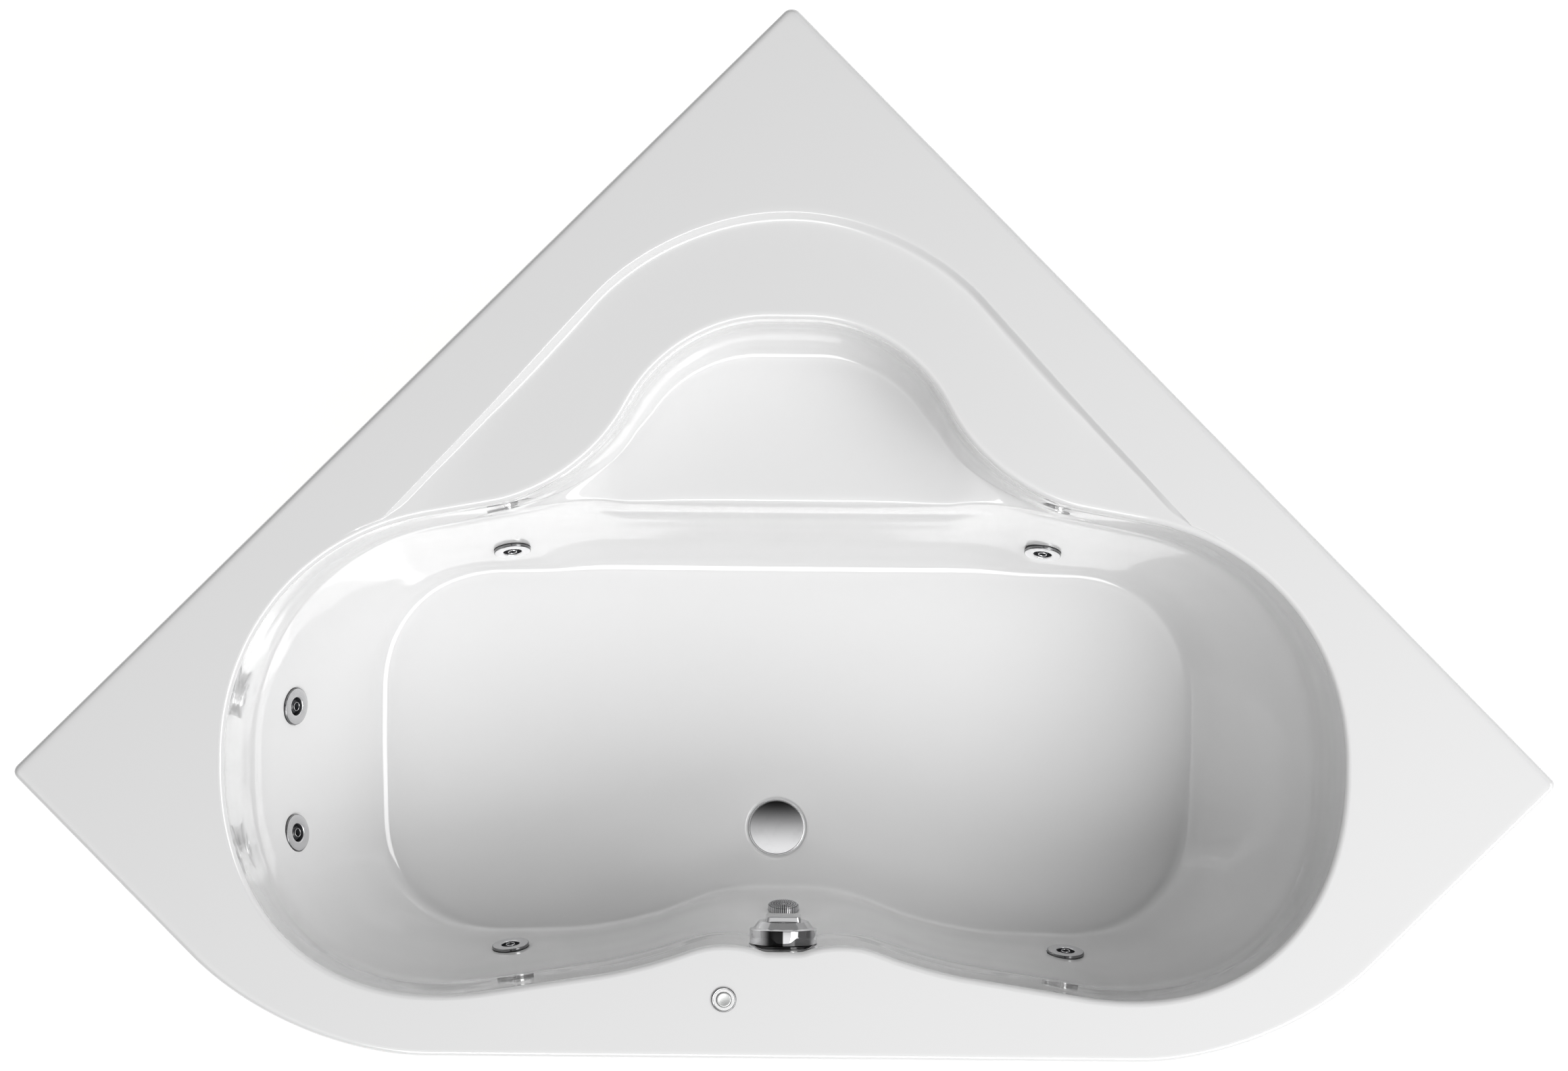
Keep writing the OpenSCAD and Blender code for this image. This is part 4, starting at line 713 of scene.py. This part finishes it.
def top_profile(s, i):
    """Profile of the visible face at one station, from the drain hole to the foot of the lip."""
    floor, rim, edge, arch, deck = s.floor[i], s.rim[i], s.edge[i], s.arch[i], s.deck[i]
    ray = floor - DRAIN
    reach, unit = ray.length, ray.normalized()
    pts = []
    rr = sizes().recess_r
    dip = ((HOLE_R, -RECESS_H), (33, -RECESS_H), (rr - 2.6, -RECESS_H), (rr - 1.2, -2.6), (rr - 0.3, -1.6),
           (rr + 0.5, -0.6), (rr + 1.8, -0.1))
    for r, z in dip:
        q = DRAIN + unit * r
        pts.append(Vector((q.x, q.y, -BASIN_DEPTH + z)))
    room = reach - rr - 4
    near = [min(d, room * c) for d, c in ((46, 0.5), (31, 0.37), (20, 0.26), (12, 0.16), (6, 0.08))]
    for d in [room + (near[0] - room) * k / 8 for k in range(8)] + near:
        q = DRAIN + ray * (1 - d / reach)
        pts.append(Vector((q.x, q.y, -BASIN_DEPTH + FLOOR_FALL * (1 - d / reach) ** 2)))
    wall = [s.wall(i, k) for k in range(11, 0, -1)] + [Vector((rim.x, rim.y, -s.drop(i) - EDGE_R))]
    pts += smooth_through(wall, WALL_COUNTS)
    d = s.drop(i)
    for k in range(1, 7):
        a = math.radians(15 * k)
        q = rim.lerp(edge, 1 - math.cos(a))
        pts.append(Vector((q.x, q.y, -d - EDGE_R * (1 - math.sin(a)))))
    gap = max(1e-6, (arch - edge).length)
    width = STEP_W + STEP_GROWTH * min(1.0, s.station(i) / 8)
    foot = arch.lerp(edge, min(width, gap * 0.6) / gap)
    for k in (0.03, 0.1, 0.25, 0.5, 0.75, 0.9, 0.97):
        pts.append(Vector((*edge.lerp(foot, k), -d)))
    pts += step_points(foot, arch, d)
    inner, mid = s.deck_in[i], arch
    for k in (0.03, 0.12, 0.3, 0.5, 0.7, 0.88, 0.97):
        pts.append(Vector((*mid.lerp(inner, k), 0)))
    for k in range(7):
        a = math.radians(15 * k)
        q = inner.lerp(deck, math.sin(a))
        pts.append(Vector((q.x, q.y, -LIP_R * (1 - math.cos(a)))))
    pts.append(Vector((*deck, -LIP_H * 0.6)))
    pts.append(Vector((*deck, -LIP_H + 1.2)))
    pts.append(Vector((*deck.lerp(s.deck_foot[i], 0.25), -LIP_H)))
    return pts


def under_profile(s, i):
    """Profile of the hidden face at one station, from the lip back to the drain hole."""
    foot, rim, edge, arch = s.deck_foot[i], s.rim[i], s.edge[i], s.arch[i]
    d = s.drop(i)
    near = rim.lerp(edge, 1.35)
    gap = max(1e-6, (arch - edge).length)
    step = arch.lerp(edge, min(STEP_W, gap * 0.6) / gap)
    high, low = arch + (foot - arch).normalized() * 5, step.lerp(arch, 0.3)
    pts = [Vector((*foot, -LIP_H)), Vector((*foot, -LIP_H / 2)), Vector((*foot, -SHELL_T)),
           Vector((*foot.lerp(high, 0.5), -SHELL_T)), Vector((*high, -SHELL_T)), Vector((*low, -d - SHELL_T)),
           Vector((*low.lerp(near, 0.5), -d - SHELL_T)), Vector((*near, -d - SHELL_T))]
    wall = [Vector((*rim.lerp(edge, 1.05), -d - SHELL_T - EDGE_R / 2))]
    wall += [s.under_wall(i, k) for k in range(1, 11)] + [Vector((*s.floor[i], BASE_Z))]
    pts += smooth_through(wall, (2, 3, 3, 3, 2, 2, 3, 3, 3, 3, 2))
    unit = (s.floor[i] - DRAIN).normalized()
    for r in (60, HOLE_R):
        pts.append(Vector((*(DRAIN + unit * r), BASE_Z)))
    return pts


def ease_walls(profiles, first, last, rounds):
    """Relaxes the moulded wall along its profile, so that its fillets run smoothly into each other."""
    for p in profiles:
        for _ in range(rounds):
            for k in range(first, last):
                p[k] = p[k] * 0.5 + (p[k - 1] + p[k + 1]) * 0.25


def seat_cutter(bm, seat, r, hole):
    """Cutter of one fitting: flats for its flanges on both faces, and the hole between them."""
    low, high, flat = -SEAT_T - SEAT_SINK, -SEAT_SINK, r + 1
    profile = [(0, -CUT_REACH), (flat, -CUT_REACH), (flat, low), (hole, low), (hole, high), (flat, high),
               (flat, CUT_REACH), (0, CUT_REACH)]
    turned(bm, profile, 64, seat_matrix(seat))


def build_shell():
    s = Shell()
    s.deck_in = s.offset(s.deck, -LIP_R)
    s.deck_foot = s.offset(s.deck, -SHELL_T)
    tops = [top_profile(s, i) for i in range(s.n)]
    ease_walls(tops, FLOOR_RINGS - 3, FLOOR_RINGS + 8, 3)
    ease_walls(tops, FLOOR_RINGS + 2, FLOOR_RINGS + 58, 2)
    unders = [under_profile(s, i) for i in range(s.n)]
    rings = [[place(p[k]) for p in tops] for k in range(len(tops[0]))]
    shown = len(rings)
    rings += [[place(p[k]) for p in unders] for k in range(len(unders[0]))]
    bm = bmesh.new()
    verts = [bm.verts.new(p) for p in rings[0]]
    first = [bm.edges.new((verts[i], verts[(i + 1) % s.n])) for i in range(s.n)]
    edges = first
    for k, ring in enumerate(rings[1:], 1):
        made = bmesh.ops.extrude_edge_only(bm, edges=edges)["geom"]
        index = {v: i for i, v in enumerate(verts)}
        fresh = [None] * s.n
        for v in made:
            if isinstance(v, bmesh.types.BMVert):
                for e in v.link_edges:
                    o = e.other_vert(v)
                    if o in index:
                        fresh[index[o]] = v
                        v.co = ring[index[o]]
                        break
        edges = [g for g in made if isinstance(g, bmesh.types.BMEdge)]
        for f in (g for g in made if isinstance(g, bmesh.types.BMFace)):
            f.material_index = 0 if k < shown else 1
        verts = fresh
    bmesh.ops.bridge_loops(bm, edges=first + edges)
    bmesh.ops.recalc_face_normals(bm, faces=bm.faces)
    shell = as_piece(bm, "moulded_shell", ["acrylic", "laminate"], replaces=["bath_shell"],
                     recalc=False)
    cuts = bmesh.new()
    for seat in JET_SEATS.values():
        seat_cutter(cuts, seat, JET_R, SLEEVE_R + PASS_GAP)
    seat_cutter(cuts, KNOB_SEAT, KNOB_R, OVERFLOW_R + PASS_GAP)
    seat_cutter(cuts, STRAINER_SEAT, STRAINER_R, SLEEVE_R + PASS_GAP)
    hole = BUTTON_BORE + PASS_GAP
    turned(cuts, [(0, -CUT_REACH), (hole, -CUT_REACH), (hole, CUT_REACH), (0, CUT_REACH)], 48,
           Matrix.Translation(place((*BUTTON, 0))))
    bmesh.ops.recalc_face_normals(cuts, faces=cuts.faces)
    mesh = bpy.data.meshes.new("fitting_holes")
    cuts.to_mesh(mesh)
    cuts.free()
    cutter = bpy.data.objects.new("fitting_holes", mesh)
    bpy.context.scene.collection.objects.link(cutter)
    mod = shell.modifiers.new("holes", "BOOLEAN")
    mod.operation, mod.object, mod.solver = "DIFFERENCE", cutter, "EXACT"
    bpy.context.view_layer.update()
    done = bpy.data.meshes.new_from_object(shell.evaluated_get(bpy.context.evaluated_depsgraph_get()))
    shell.modifiers.clear()
    old, shell.data = shell.data, done
    bpy.data.meshes.remove(old)
    done.name = "moulded_shell"
    bpy.data.objects.remove(cutter)
    done.shade_smooth()
    done.set_sharp_from_angle(angle=math.radians(38))
    return shell


class BATH_OT_shell(BuildStep, bpy.types.Operator):
    """Lofts the acrylic shell from the drain to its lip and back along its laminate"""

    bl_idname, bl_label, build = "bath.shell", "Shell", staticmethod(build_shell)


# ---- Fittings ----


def soft_edges(obj, width=None, segments=3):
    """Breaks the sharp edges of a piece."""
    mod = obj.modifiers.new("edges", "BEVEL")
    mod.width, mod.segments = (width or sizes().bevel) * MM, segments
    mod.limit_method, mod.angle_limit, mod.use_clamp_overlap = "ANGLE", math.radians(30), True
    return obj


def block(bm, size, at, matrix, mat=0):
    """One small block in a fitting's frame, in millimetres."""
    stretch = Matrix.Diagonal((*[s * MM for s in size], 1))
    made = bmesh.ops.create_cube(bm, size=1.0, matrix=matrix @ at @ stretch)["verts"]
    for f in {f for v in made for f in v.link_faces}:
        f.material_index = mat


def shift(x, y, z, turn=0.0):
    return Matrix.Rotation(turn, 4, "Z") @ Matrix.Translation((x * MM, y * MM, z * MM))


FLANGE_Z = 3.0 - SEAT_SINK
KNOB_Z = FLANGE_Z + 6.0
RING_H, CONE_H, CONE_R, GRIP_R, GRIP_W, GRIP_H, GRIP_TAPER = 19.5, 10.5, 29.0, 28.0, 44.0, 6.5, 0.93


def build_knob():
    m = seat_matrix(KNOB_SEAT)
    bm = bmesh.new()
    profile = [(5, RING_H - 8), (9, RING_H - 4), (KNOB_R - 3, RING_H - 4), (KNOB_R - 3, 0.3)]
    profile += arc(KNOB_R - 0.8, 0.8, 0.8, -90, 0) + arc(KNOB_R - 0.9, RING_H - 0.9, 0.9, 0, 62)
    base = RING_H + CONE_H
    profile += [(KNOB_R - 5, RING_H + 1.5), (CONE_R + 3, base - 1.0)] + arc(CONE_R - 0.5, base - 1, 1.0, 60, 90)
    profile += [(12, base), (5, base)]
    turned(bm, profile, 128)
    # Faces inside the ring's rim take the dimmed copy of the plating: painted shade
    for f in bm.faces:
        if f.calc_center_median().xy.length < (KNOB_R - 1.5) * MM:
            f.material_index = 1
    bmesh.ops.transform(bm, matrix=m @ shift(0, 0, KNOB_Z), verts=bm.verts)
    as_piece(bm, "rosette", ["banded_chrome", "soft_chrome"], "knob", ["knob_ring"], 30)
    bm = bmesh.new()
    low = -2.5
    block(bm, ((GRIP_R - 4) * 2, GRIP_W + 3, GRIP_H - low), shift(0, 0, (GRIP_H + low) / 2), Matrix.Identity(4))
    for v in bm.verts:
        if v.co.z > 0:
            v.co.y *= GRIP_TAPER
    upright = [e for e in bm.edges if abs(e.verts[0].co.z - e.verts[1].co.z) > 0.005]
    bmesh.ops.bevel(bm, geom=upright, offset=6 * MM, affect="EDGES", segments=8, profile=0.5, material=-1)
    bmesh.ops.transform(bm, matrix=m @ shift(0, 0, KNOB_Z + base), verts=bm.verts)
    spindle = 4.8
    turned(bm, [(0, -20), (spindle, -20), (spindle, base - 0.3), (0, base - 0.3)], 32, m @ shift(0, 0, KNOB_Z),
           closed=False)
    soft_edges(as_piece(bm, "turning_grip", ["soft_chrome"], "knob", ["knob_grip"], 30), 1.1, 4)
    bm = bmesh.new()
    profile = [(OVERFLOW_R - 3, -23), (OVERFLOW_R, -23), (OVERFLOW_R, FLANGE_Z), (KNOB_R - 3, FLANGE_Z)]
    profile += arc(KNOB_R - 2.6, FLANGE_Z + 1.2, 1.1, -90, 60) + [(KNOB_R - 5, FLANGE_Z + 2.6)]
    profile += arc(KNOB_R - 5.6, FLANGE_Z + 3.8, 1.1, -60, 80) + [(KNOB_R - 8, FLANGE_Z + 5), (5.4, FLANGE_Z + 5)]
    profile += [(5.4, FLANGE_Z), (OVERFLOW_R - 3, FLANGE_Z)]
    turned(bm, profile, 96, m)
    for k in range(6):
        block(bm, (2, 12, 1.2), shift(OVERFLOW_R - 6, 0, FLANGE_Z + 5.2, k * math.pi / 3), m)
    # The flange under the rosette is wholly in the dark copy of the plating: painted shade under the knob
    as_piece(bm, "overflow_flange", ["chrome_in_painted_shade"], "bath", ["filler_flange"], 35)


COVER_R, COVER_RISE, COVER_REST = 35.0, 1.65, 2.8


def build_drain():
    at = Matrix.Translation(place((*DRAIN, -BASIN_DEPTH - RECESS_H)))
    bm = bmesh.new()
    rest, r, h = COVER_REST, COVER_R, COVER_RISE
    profile = [(0, -52), (4, -52), (4, rest - 9), (17.5, rest - 7), (22.5, rest - 4), (22.5, rest), (r - 1.6, rest)]
    profile += arc(r - 0.8, rest + 0.8, 0.8, -90, 82, 10)
    for f in (0.974, 0.96, 0.93, *(k / 10 for k in range(9, -1, -1))):
        profile.append((r * f, rest + 1.52 + h * (1 - f ** 2)))
    turned(bm, profile, 128)
    # The cover's outer rim takes the dark plating: a painted dark outline and painted shade over its highlight
    for f in bm.faces:
        if min(v.co.xy.length for v in f.verts) > (r - 0.75) * MM:
            f.material_index = 1
    bmesh.ops.transform(bm, matrix=at, verts=bm.verts)
    as_piece(bm, "mirror_cover", ["chrome", "chrome_in_painted_shade"], "drain_cover", ["drain_plug"], 50)
    bm = bmesh.new()
    profile = [(23.5, -42), (26, -42), (26, 0.05), (36.1, 0.05), (36.6, 0.6)] + arc(35.6, 1.4, 1.0, 0, 90)
    profile += [(27, 2.4), (25, 2.2), (23.5, 1.2)]
    turned(bm, profile, 96, at)
    turned(bm, [(4.4, -42), (25, -42), (25, -39.5), (4.4, -39.5)], 48, at)
    as_piece(bm, "waste_rim", ["ring_chrome"], "bath", ["waste_flange"], 35)


STRAINER_PROUD, RIBS = 9.0, 44
STUD_RINGS = ((4.2, 10), (7.6, 18), (11.0, 26), (14.3, 34), (17.2, 40))


def build_strainer():
    m = seat_matrix(STRAINER_SEAT)
    face = STRAINER_PROUD - SEAT_SINK
    bm = bmesh.new()
    profile = [(14.5, -16), (SLEEVE_R, -16), (SLEEVE_R, -SEAT_SINK), (STRAINER_R - 0.9, -SEAT_SINK)]
    profile += [(STRAINER_R - 0.9, face - 1.6)] + arc(STRAINER_R - 2.1, face - 1.6, 1.2, 0, 90, 4)
    profile += [(3, face - 0.4), (0, face - 0.4), (0, face - 2.4), (14.5, face - 2.4)]
    turned(bm, profile, matrix=m, mat=1)
    for k in range(RIBS):
        at = shift(STRAINER_R - 0.76, 0, face / 2 - 0.4, k * 2 * math.pi / RIBS)
        block(bm, (1.5, 1.45, face - 0.9), at, m, 2)
    for r, n in STUD_RINGS:
        for k in range(n):
            block(bm, (2.2, r * 3.7 / n, 1.3), shift(r, 0, face - 0.2, (k + 0.5 * (n % 4)) * 2 * math.pi / n), m, 2)
    screw = [(0, face - 0.5), (2.2, face - 0.5), (2.2, face + 0.1), (1.6, face + 0.3), (0, face + 0.3)]
    turned(bm, screw, 24, m, closed=False)
    finishes = ["chrome", "dark_chrome", "ring_chrome"]
    as_piece(bm, "suction_strainer", finishes, "bath", ["strainer_cover"], 30)


JET_PROUD, BALL_R, BALL_Z = 4.8, 11.5, -7.5


def build_jets():
    top, low = JET_PROUD - SEAT_SINK, 1 - SEAT_SINK
    for name, seat in JET_SEATS.items():
        m = seat_matrix(seat)
        bm = bmesh.new()
        profile = [(12.0, -22), (SLEEVE_R, -22), (SLEEVE_R, low), (JET_R - 0.5, low)]
        profile += arc(JET_R - 0.5, low + 0.5, 0.5, -90, 0, 3) + arc(JET_R - 1.2, top - 1.2, 1.2, 0, 90, 6)
        profile += [(19, top + 0.05), (15.5, top)] + arc(13.2, top - 1.2, 1.2, 90, 180, 6)
        # Faces at the ring's outer edge take the dark plating: a painted dark outline
        for v in {v for v in turned(bm, profile, 96) if v.co.xy.length > (JET_R - 0.75) * MM}:
            for f in v.link_faces:
                f.material_index = 2
        bmesh.ops.transform(bm, matrix=m, verts=bm.verts)
        notch = [(0, top - 2.2), (1.35, top - 2.2), (1.35, top - 0.2), (0, top + 0.05)]
        turned(bm, notch, 16, m @ shift(-JET_R + 0.55, 0, -0.6), mat=1, closed=False)
        turned(bm, [(12.0, -6), (12.01, top - 1.4), (11.9, top - 1.4), (11.85, -6)], 64, m, mat=1)
        finishes = ["ring_chrome", "socket", "chrome_in_painted_shade"]
        as_piece(bm, "jet_ring." + name, finishes, "bath", ["jet_ring_" + name], 30)
        bm = bmesh.new()
        r, tip = BALL_R, BALL_R + 0.1
        profile = [(0, -r)]
        profile += [(r * math.cos(math.radians(a)), r * math.sin(math.radians(a))) for a in range(-75, 62, 8)]
        profile += [(5.9, r * 0.86), (5.8, tip - 0.5), (4.9, tip - 0.5), (3.6, 4), (3, -2), (0, -2)]
        ball = m @ shift(0, 0, BALL_Z)
        turned(bm, profile, 64, ball, mat=1, closed=False)
        mouth = [(5.0, tip - 1.6), (5.95, tip - 1.6), (5.95, tip - 0.4), (5.7, tip), (5.3, tip), (5.0, tip - 0.4)]
        turned(bm, mouth, 48, ball)
        turned(bm, [(8.8, 6.4), (9.7, 6.0), (9.9, 6.5), (9.0, 7.0)], 64, ball)
        as_piece(bm, "jet_nozzle." + name, ["chrome", "socket"], "nozzle_" + name, ["jet_nozzle_" + name],
                 40)


def build_button():
    at = Matrix.Translation(place((*BUTTON, 0)))
    bm = bmesh.new()
    profile = [(BUTTON_R + 0.3, -20), (BUTTON_BORE, -20), (BUTTON_BORE, 0), (BEZEL_R - 0.4, 0), (BEZEL_R, 0.4)]
    profile += arc(BEZEL_R - 1.3, 1.7, 1.3, 0, 130, 8) + [(BEZEL_R - 2.6, 2.3), (BUTTON_R + 1.4, 2.3)]
    turned(bm, profile + [(BUTTON_R + 0.3, 2.0)], 96, at)
    # The bezel's outer fillet takes the dark plating: a painted dark outline of reflected shade
    for f in bm.faces:
        c = at.inverted() @ f.calc_center_median()
        if c.xy.length < (BEZEL_R - 2.5) * MM and c.z > 0.0019:
            f.material_index = 1
        elif c.xy.length > (BEZEL_R - 1.2) * MM:
            f.material_index = 2
    finishes = ["chrome", "white_ring", "chrome_in_painted_shade"]
    as_piece(bm, "button_bezel_ring", finishes, "bath", ["button_bezel"], 40)
    bm = bmesh.new()
    base = BUTTON_PROUD
    side, dish = BUTTON_R - 0.6, BUTTON_R - 1.6
    profile = [(0, base - 14), (side, base - 14), (side, base - 1.4), (BUTTON_R - 0.35, base - 1.2)]
    profile += arc(dish, base + 0.1, 1.2, 0, 80, 6)
    profile += [(dish * k / 10, base + 0.2 + 1.1 * (k / 10) ** 2) for k in range(9, -1, -1)]
    turned(bm, profile, matrix=at, closed=False)
    as_piece(bm, "pearl_dome", ["pearl"], "button", ["air_button"], 40)


class BATH_OT_knob(BuildStep, bpy.types.Operator):
    """Turns the overflow's flange and the knob with its grip"""

    bl_idname, bl_label, build = "bath.knob", "Knob", staticmethod(build_knob)


class BATH_OT_drain(BuildStep, bpy.types.Operator):
    """Turns the waste's rim and its mirror cover"""

    bl_idname, bl_label, build = "bath.drain", "Drain", staticmethod(build_drain)


class BATH_OT_strainer(BuildStep, bpy.types.Operator):
    """Makes the studded strainer under the knob"""

    bl_idname, bl_label, build = "bath.strainer", "Strainer", staticmethod(build_strainer)


class BATH_OT_jets(BuildStep, bpy.types.Operator):
    """Turns the ring and the nozzle of every jet"""

    bl_idname, bl_label, build = "bath.jets", "Jets", staticmethod(build_jets)


class BATH_OT_button(BuildStep, bpy.types.Operator):
    """Turns the bezel and the pearl button"""

    bl_idname, bl_label, build = "bath.button", "Air button", staticmethod(build_button)


# ---- Frame, pipes and pump carried over from the solids ----

CARRIED = {
    "board": ("base_board", "seat_board"),
    "galvanised": ("front_rail", "back_rail", "seat_leg", "wall_anchor_left", "wall_anchor_right", "pump_tray"),
    "bolt": ("frame_screws", "foot_nuts"),
    "black": ("foot_front_left", "foot_front_right", "foot_back_left", "foot_back_right", "foot_seat", "button_body",
              "pump_housing", "pump_impeller", "terminal_box", "cable_gland", "control_cable"),
    "rubber": ("waste_gasket", "overflow_gasket", "jet_gaskets", "button_bellows"),
    "pipe": ("waste_body", "waste_trap", "overflow_body", "suction_body", "suction_pipe", "jet_bodies",
             "pressure_pipe"),
    "grey_hose": ("overflow_hose",),
    "clear_hose": ("air_hose", "air_line"),
    "paint": ("motor_casing",),
    "grey_box": ("control_box",),
}


def give_finishes():
    for key, nodes in CARRIED.items():
        for node in nodes:
            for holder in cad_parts[node].material_slots:
                holder.material = finish_of(key)


class BATH_OT_finishes(BuildStep, bpy.types.Operator):
    """Gives the frame, pipes and pump their finishes"""

    bl_idname, bl_label, build = "bath.finishes", "Finishes", staticmethod(give_finishes)


# ---- Stage ----

CAMERA_HEIGHT, CAMERA_AT, CAMERA_TURN, SENSOR, VIEW_WIDTH = 20.0, (-0.0038, -0.0015), 0.54, 36.0, 2.0045
SKY_LEVEL, SIDE_MIRROR, FLOOR_GLOW = 0.29, 0.36, 0.79
BOX_FAR, BOX_LIFT, BOX_WIDTH, BOX_WATTS = 8.0, 50.0, 4.9, 200.0
BOXES = (("right_softbox", -7, 3.4), ("corner_softbox", -42.5, 3.2), ("front_softbox", -78, 3.2))


def softbox(name, turn, height):
    """An area light that looks at the bath from one side, turn degrees round from +X."""
    light = bpy.data.lights.new(name, "AREA")
    light.shape, light.size, light.size_y, light.energy = "RECTANGLE", BOX_WIDTH, height, BOX_WATTS
    obj = bpy.data.objects.new(name, light)
    bpy.context.scene.collection.objects.link(obj)
    a, b, aim = math.radians(turn), math.radians(BOX_LIFT), Vector((0, 0, 0.3))
    obj.location = aim + BOX_FAR * Vector((math.cos(b) * math.cos(a), math.cos(b) * math.sin(a), math.sin(b)))
    obj.rotation_euler = (aim - obj.location).to_track_quat("-Z", "Y").to_euler()
    obj.visible_camera = False


def studio_sky(tree):
    """White where it is seen, dim where it lights, and a dark to light sweep overhead in what mirrors it."""
    g = Graph(tree)
    sky = g.node("ShaderNodeSeparateXYZ", Vector=g.node("ShaderNodeTexCoord").outputs["Generated"])
    sweep = g.remap(sky.outputs["Y"], -0.2, 0.165, 1.0, 0.01)
    above = g.remap(sky.outputs["Z"], 0.72, 0.86, curve="LINEAR")
    mirror = sweep * above + (1 - above) * SIDE_MIRROR
    seen, gloss = g.rays("Camera", "Transmission"), g.rays("Glossy")
    back = tree.nodes["Background"]
    back.inputs["Color"].default_value = (1, 1, 1, 1)
    g.feed(back, "Strength", (1 - seen) * (1 - gloss) * SKY_LEVEL + seen + gloss * mirror)


def studio_floor():
    bm = bmesh.new()
    bmesh.ops.create_grid(bm, x_segments=1, y_segments=1, size=6.0)
    mesh = bpy.data.meshes.new("studio_floor")
    bm.to_mesh(mesh)
    bm.free()
    floor = bpy.data.objects.new("studio_floor", mesh)
    bpy.context.scene.collection.objects.link(floor)
    f = Finish("studio_floor")
    lit = f.mix(f.rays("Camera", "Glossy", "Transmission"), (0, 0, 0, 1), (1, 1, 1, 1))
    f.set(Base_Color=(0.86, 0.86, 0.86, 1), Roughness=0.9, Emission_Color=lit, Emission_Strength=FLOOR_GLOW)
    mesh.materials.append(f.mat)


def build_stage():
    scene = bpy.context.scene
    scene.view_settings.view_transform = "Standard"
    cam = bpy.data.cameras.new("overhead_camera")
    obj = bpy.data.objects.new("overhead_camera", cam)
    scene.collection.objects.link(obj)
    cam.sensor_width, cam.lens = SENSOR, SENSOR * CAMERA_HEIGHT / VIEW_WIDTH
    cam.clip_start, cam.clip_end = 1.0, 200.0
    obj.location = (*CAMERA_AT, DECK_Z * MM + CAMERA_HEIGHT)
    obj.rotation_euler = (0, 0, math.radians(CAMERA_TURN))
    scene.camera = obj
    world = bpy.data.worlds.new("studio")
    scene.world = world
    world.use_nodes = True
    studio_sky(world.node_tree)
    studio_floor()
    for box in BOXES:
        softbox(*box)


class BATH_OT_stage(BuildStep, bpy.types.Operator):
    """Sets up the white studio, its softboxes and the overhead camera"""

    bl_idname, bl_label, build = "bath.stage", "Stage", staticmethod(build_stage)


class BATH_PT_panel(bpy.types.Panel):
    """Lists the sizes, colours and pieces of the bath"""

    bl_idname = "BATH_PT_panel"
    bl_label = "Corner bath"
    bl_space_type = "VIEW_3D"
    bl_region_type = "UI"
    bl_category = "Bath"

    def draw(self, context):
        for group in (context.scene.bath_sizes, context.scene.bath_colours):
            for key in group.__annotations__:
                self.layout.prop(group, key)
        for cls in STEPS:
            self.layout.operator(cls.bl_idname)


STEPS = (BATH_OT_stage, BATH_OT_shell, BATH_OT_knob, BATH_OT_drain, BATH_OT_strainer, BATH_OT_jets, BATH_OT_button,
         BATH_OT_finishes)
CLASSES = (BathSizes, BathColours, *STEPS, BATH_PT_panel)


def register():
    for cls in CLASSES:
        bpy.utils.register_class(cls)
    bpy.types.Scene.bath_sizes = PointerProperty(type=BathSizes)
    bpy.types.Scene.bath_colours = PointerProperty(type=BathColours)


def unregister():
    del bpy.types.Scene.bath_colours
    del bpy.types.Scene.bath_sizes
    for cls in reversed(CLASSES):
        bpy.utils.unregister_class(cls)


def main():
    register()
    for cls in STEPS:
        group, name = cls.bl_idname.split(".")
        getattr(getattr(bpy.ops, group), name)()


if __name__ == "__main__":
    main()
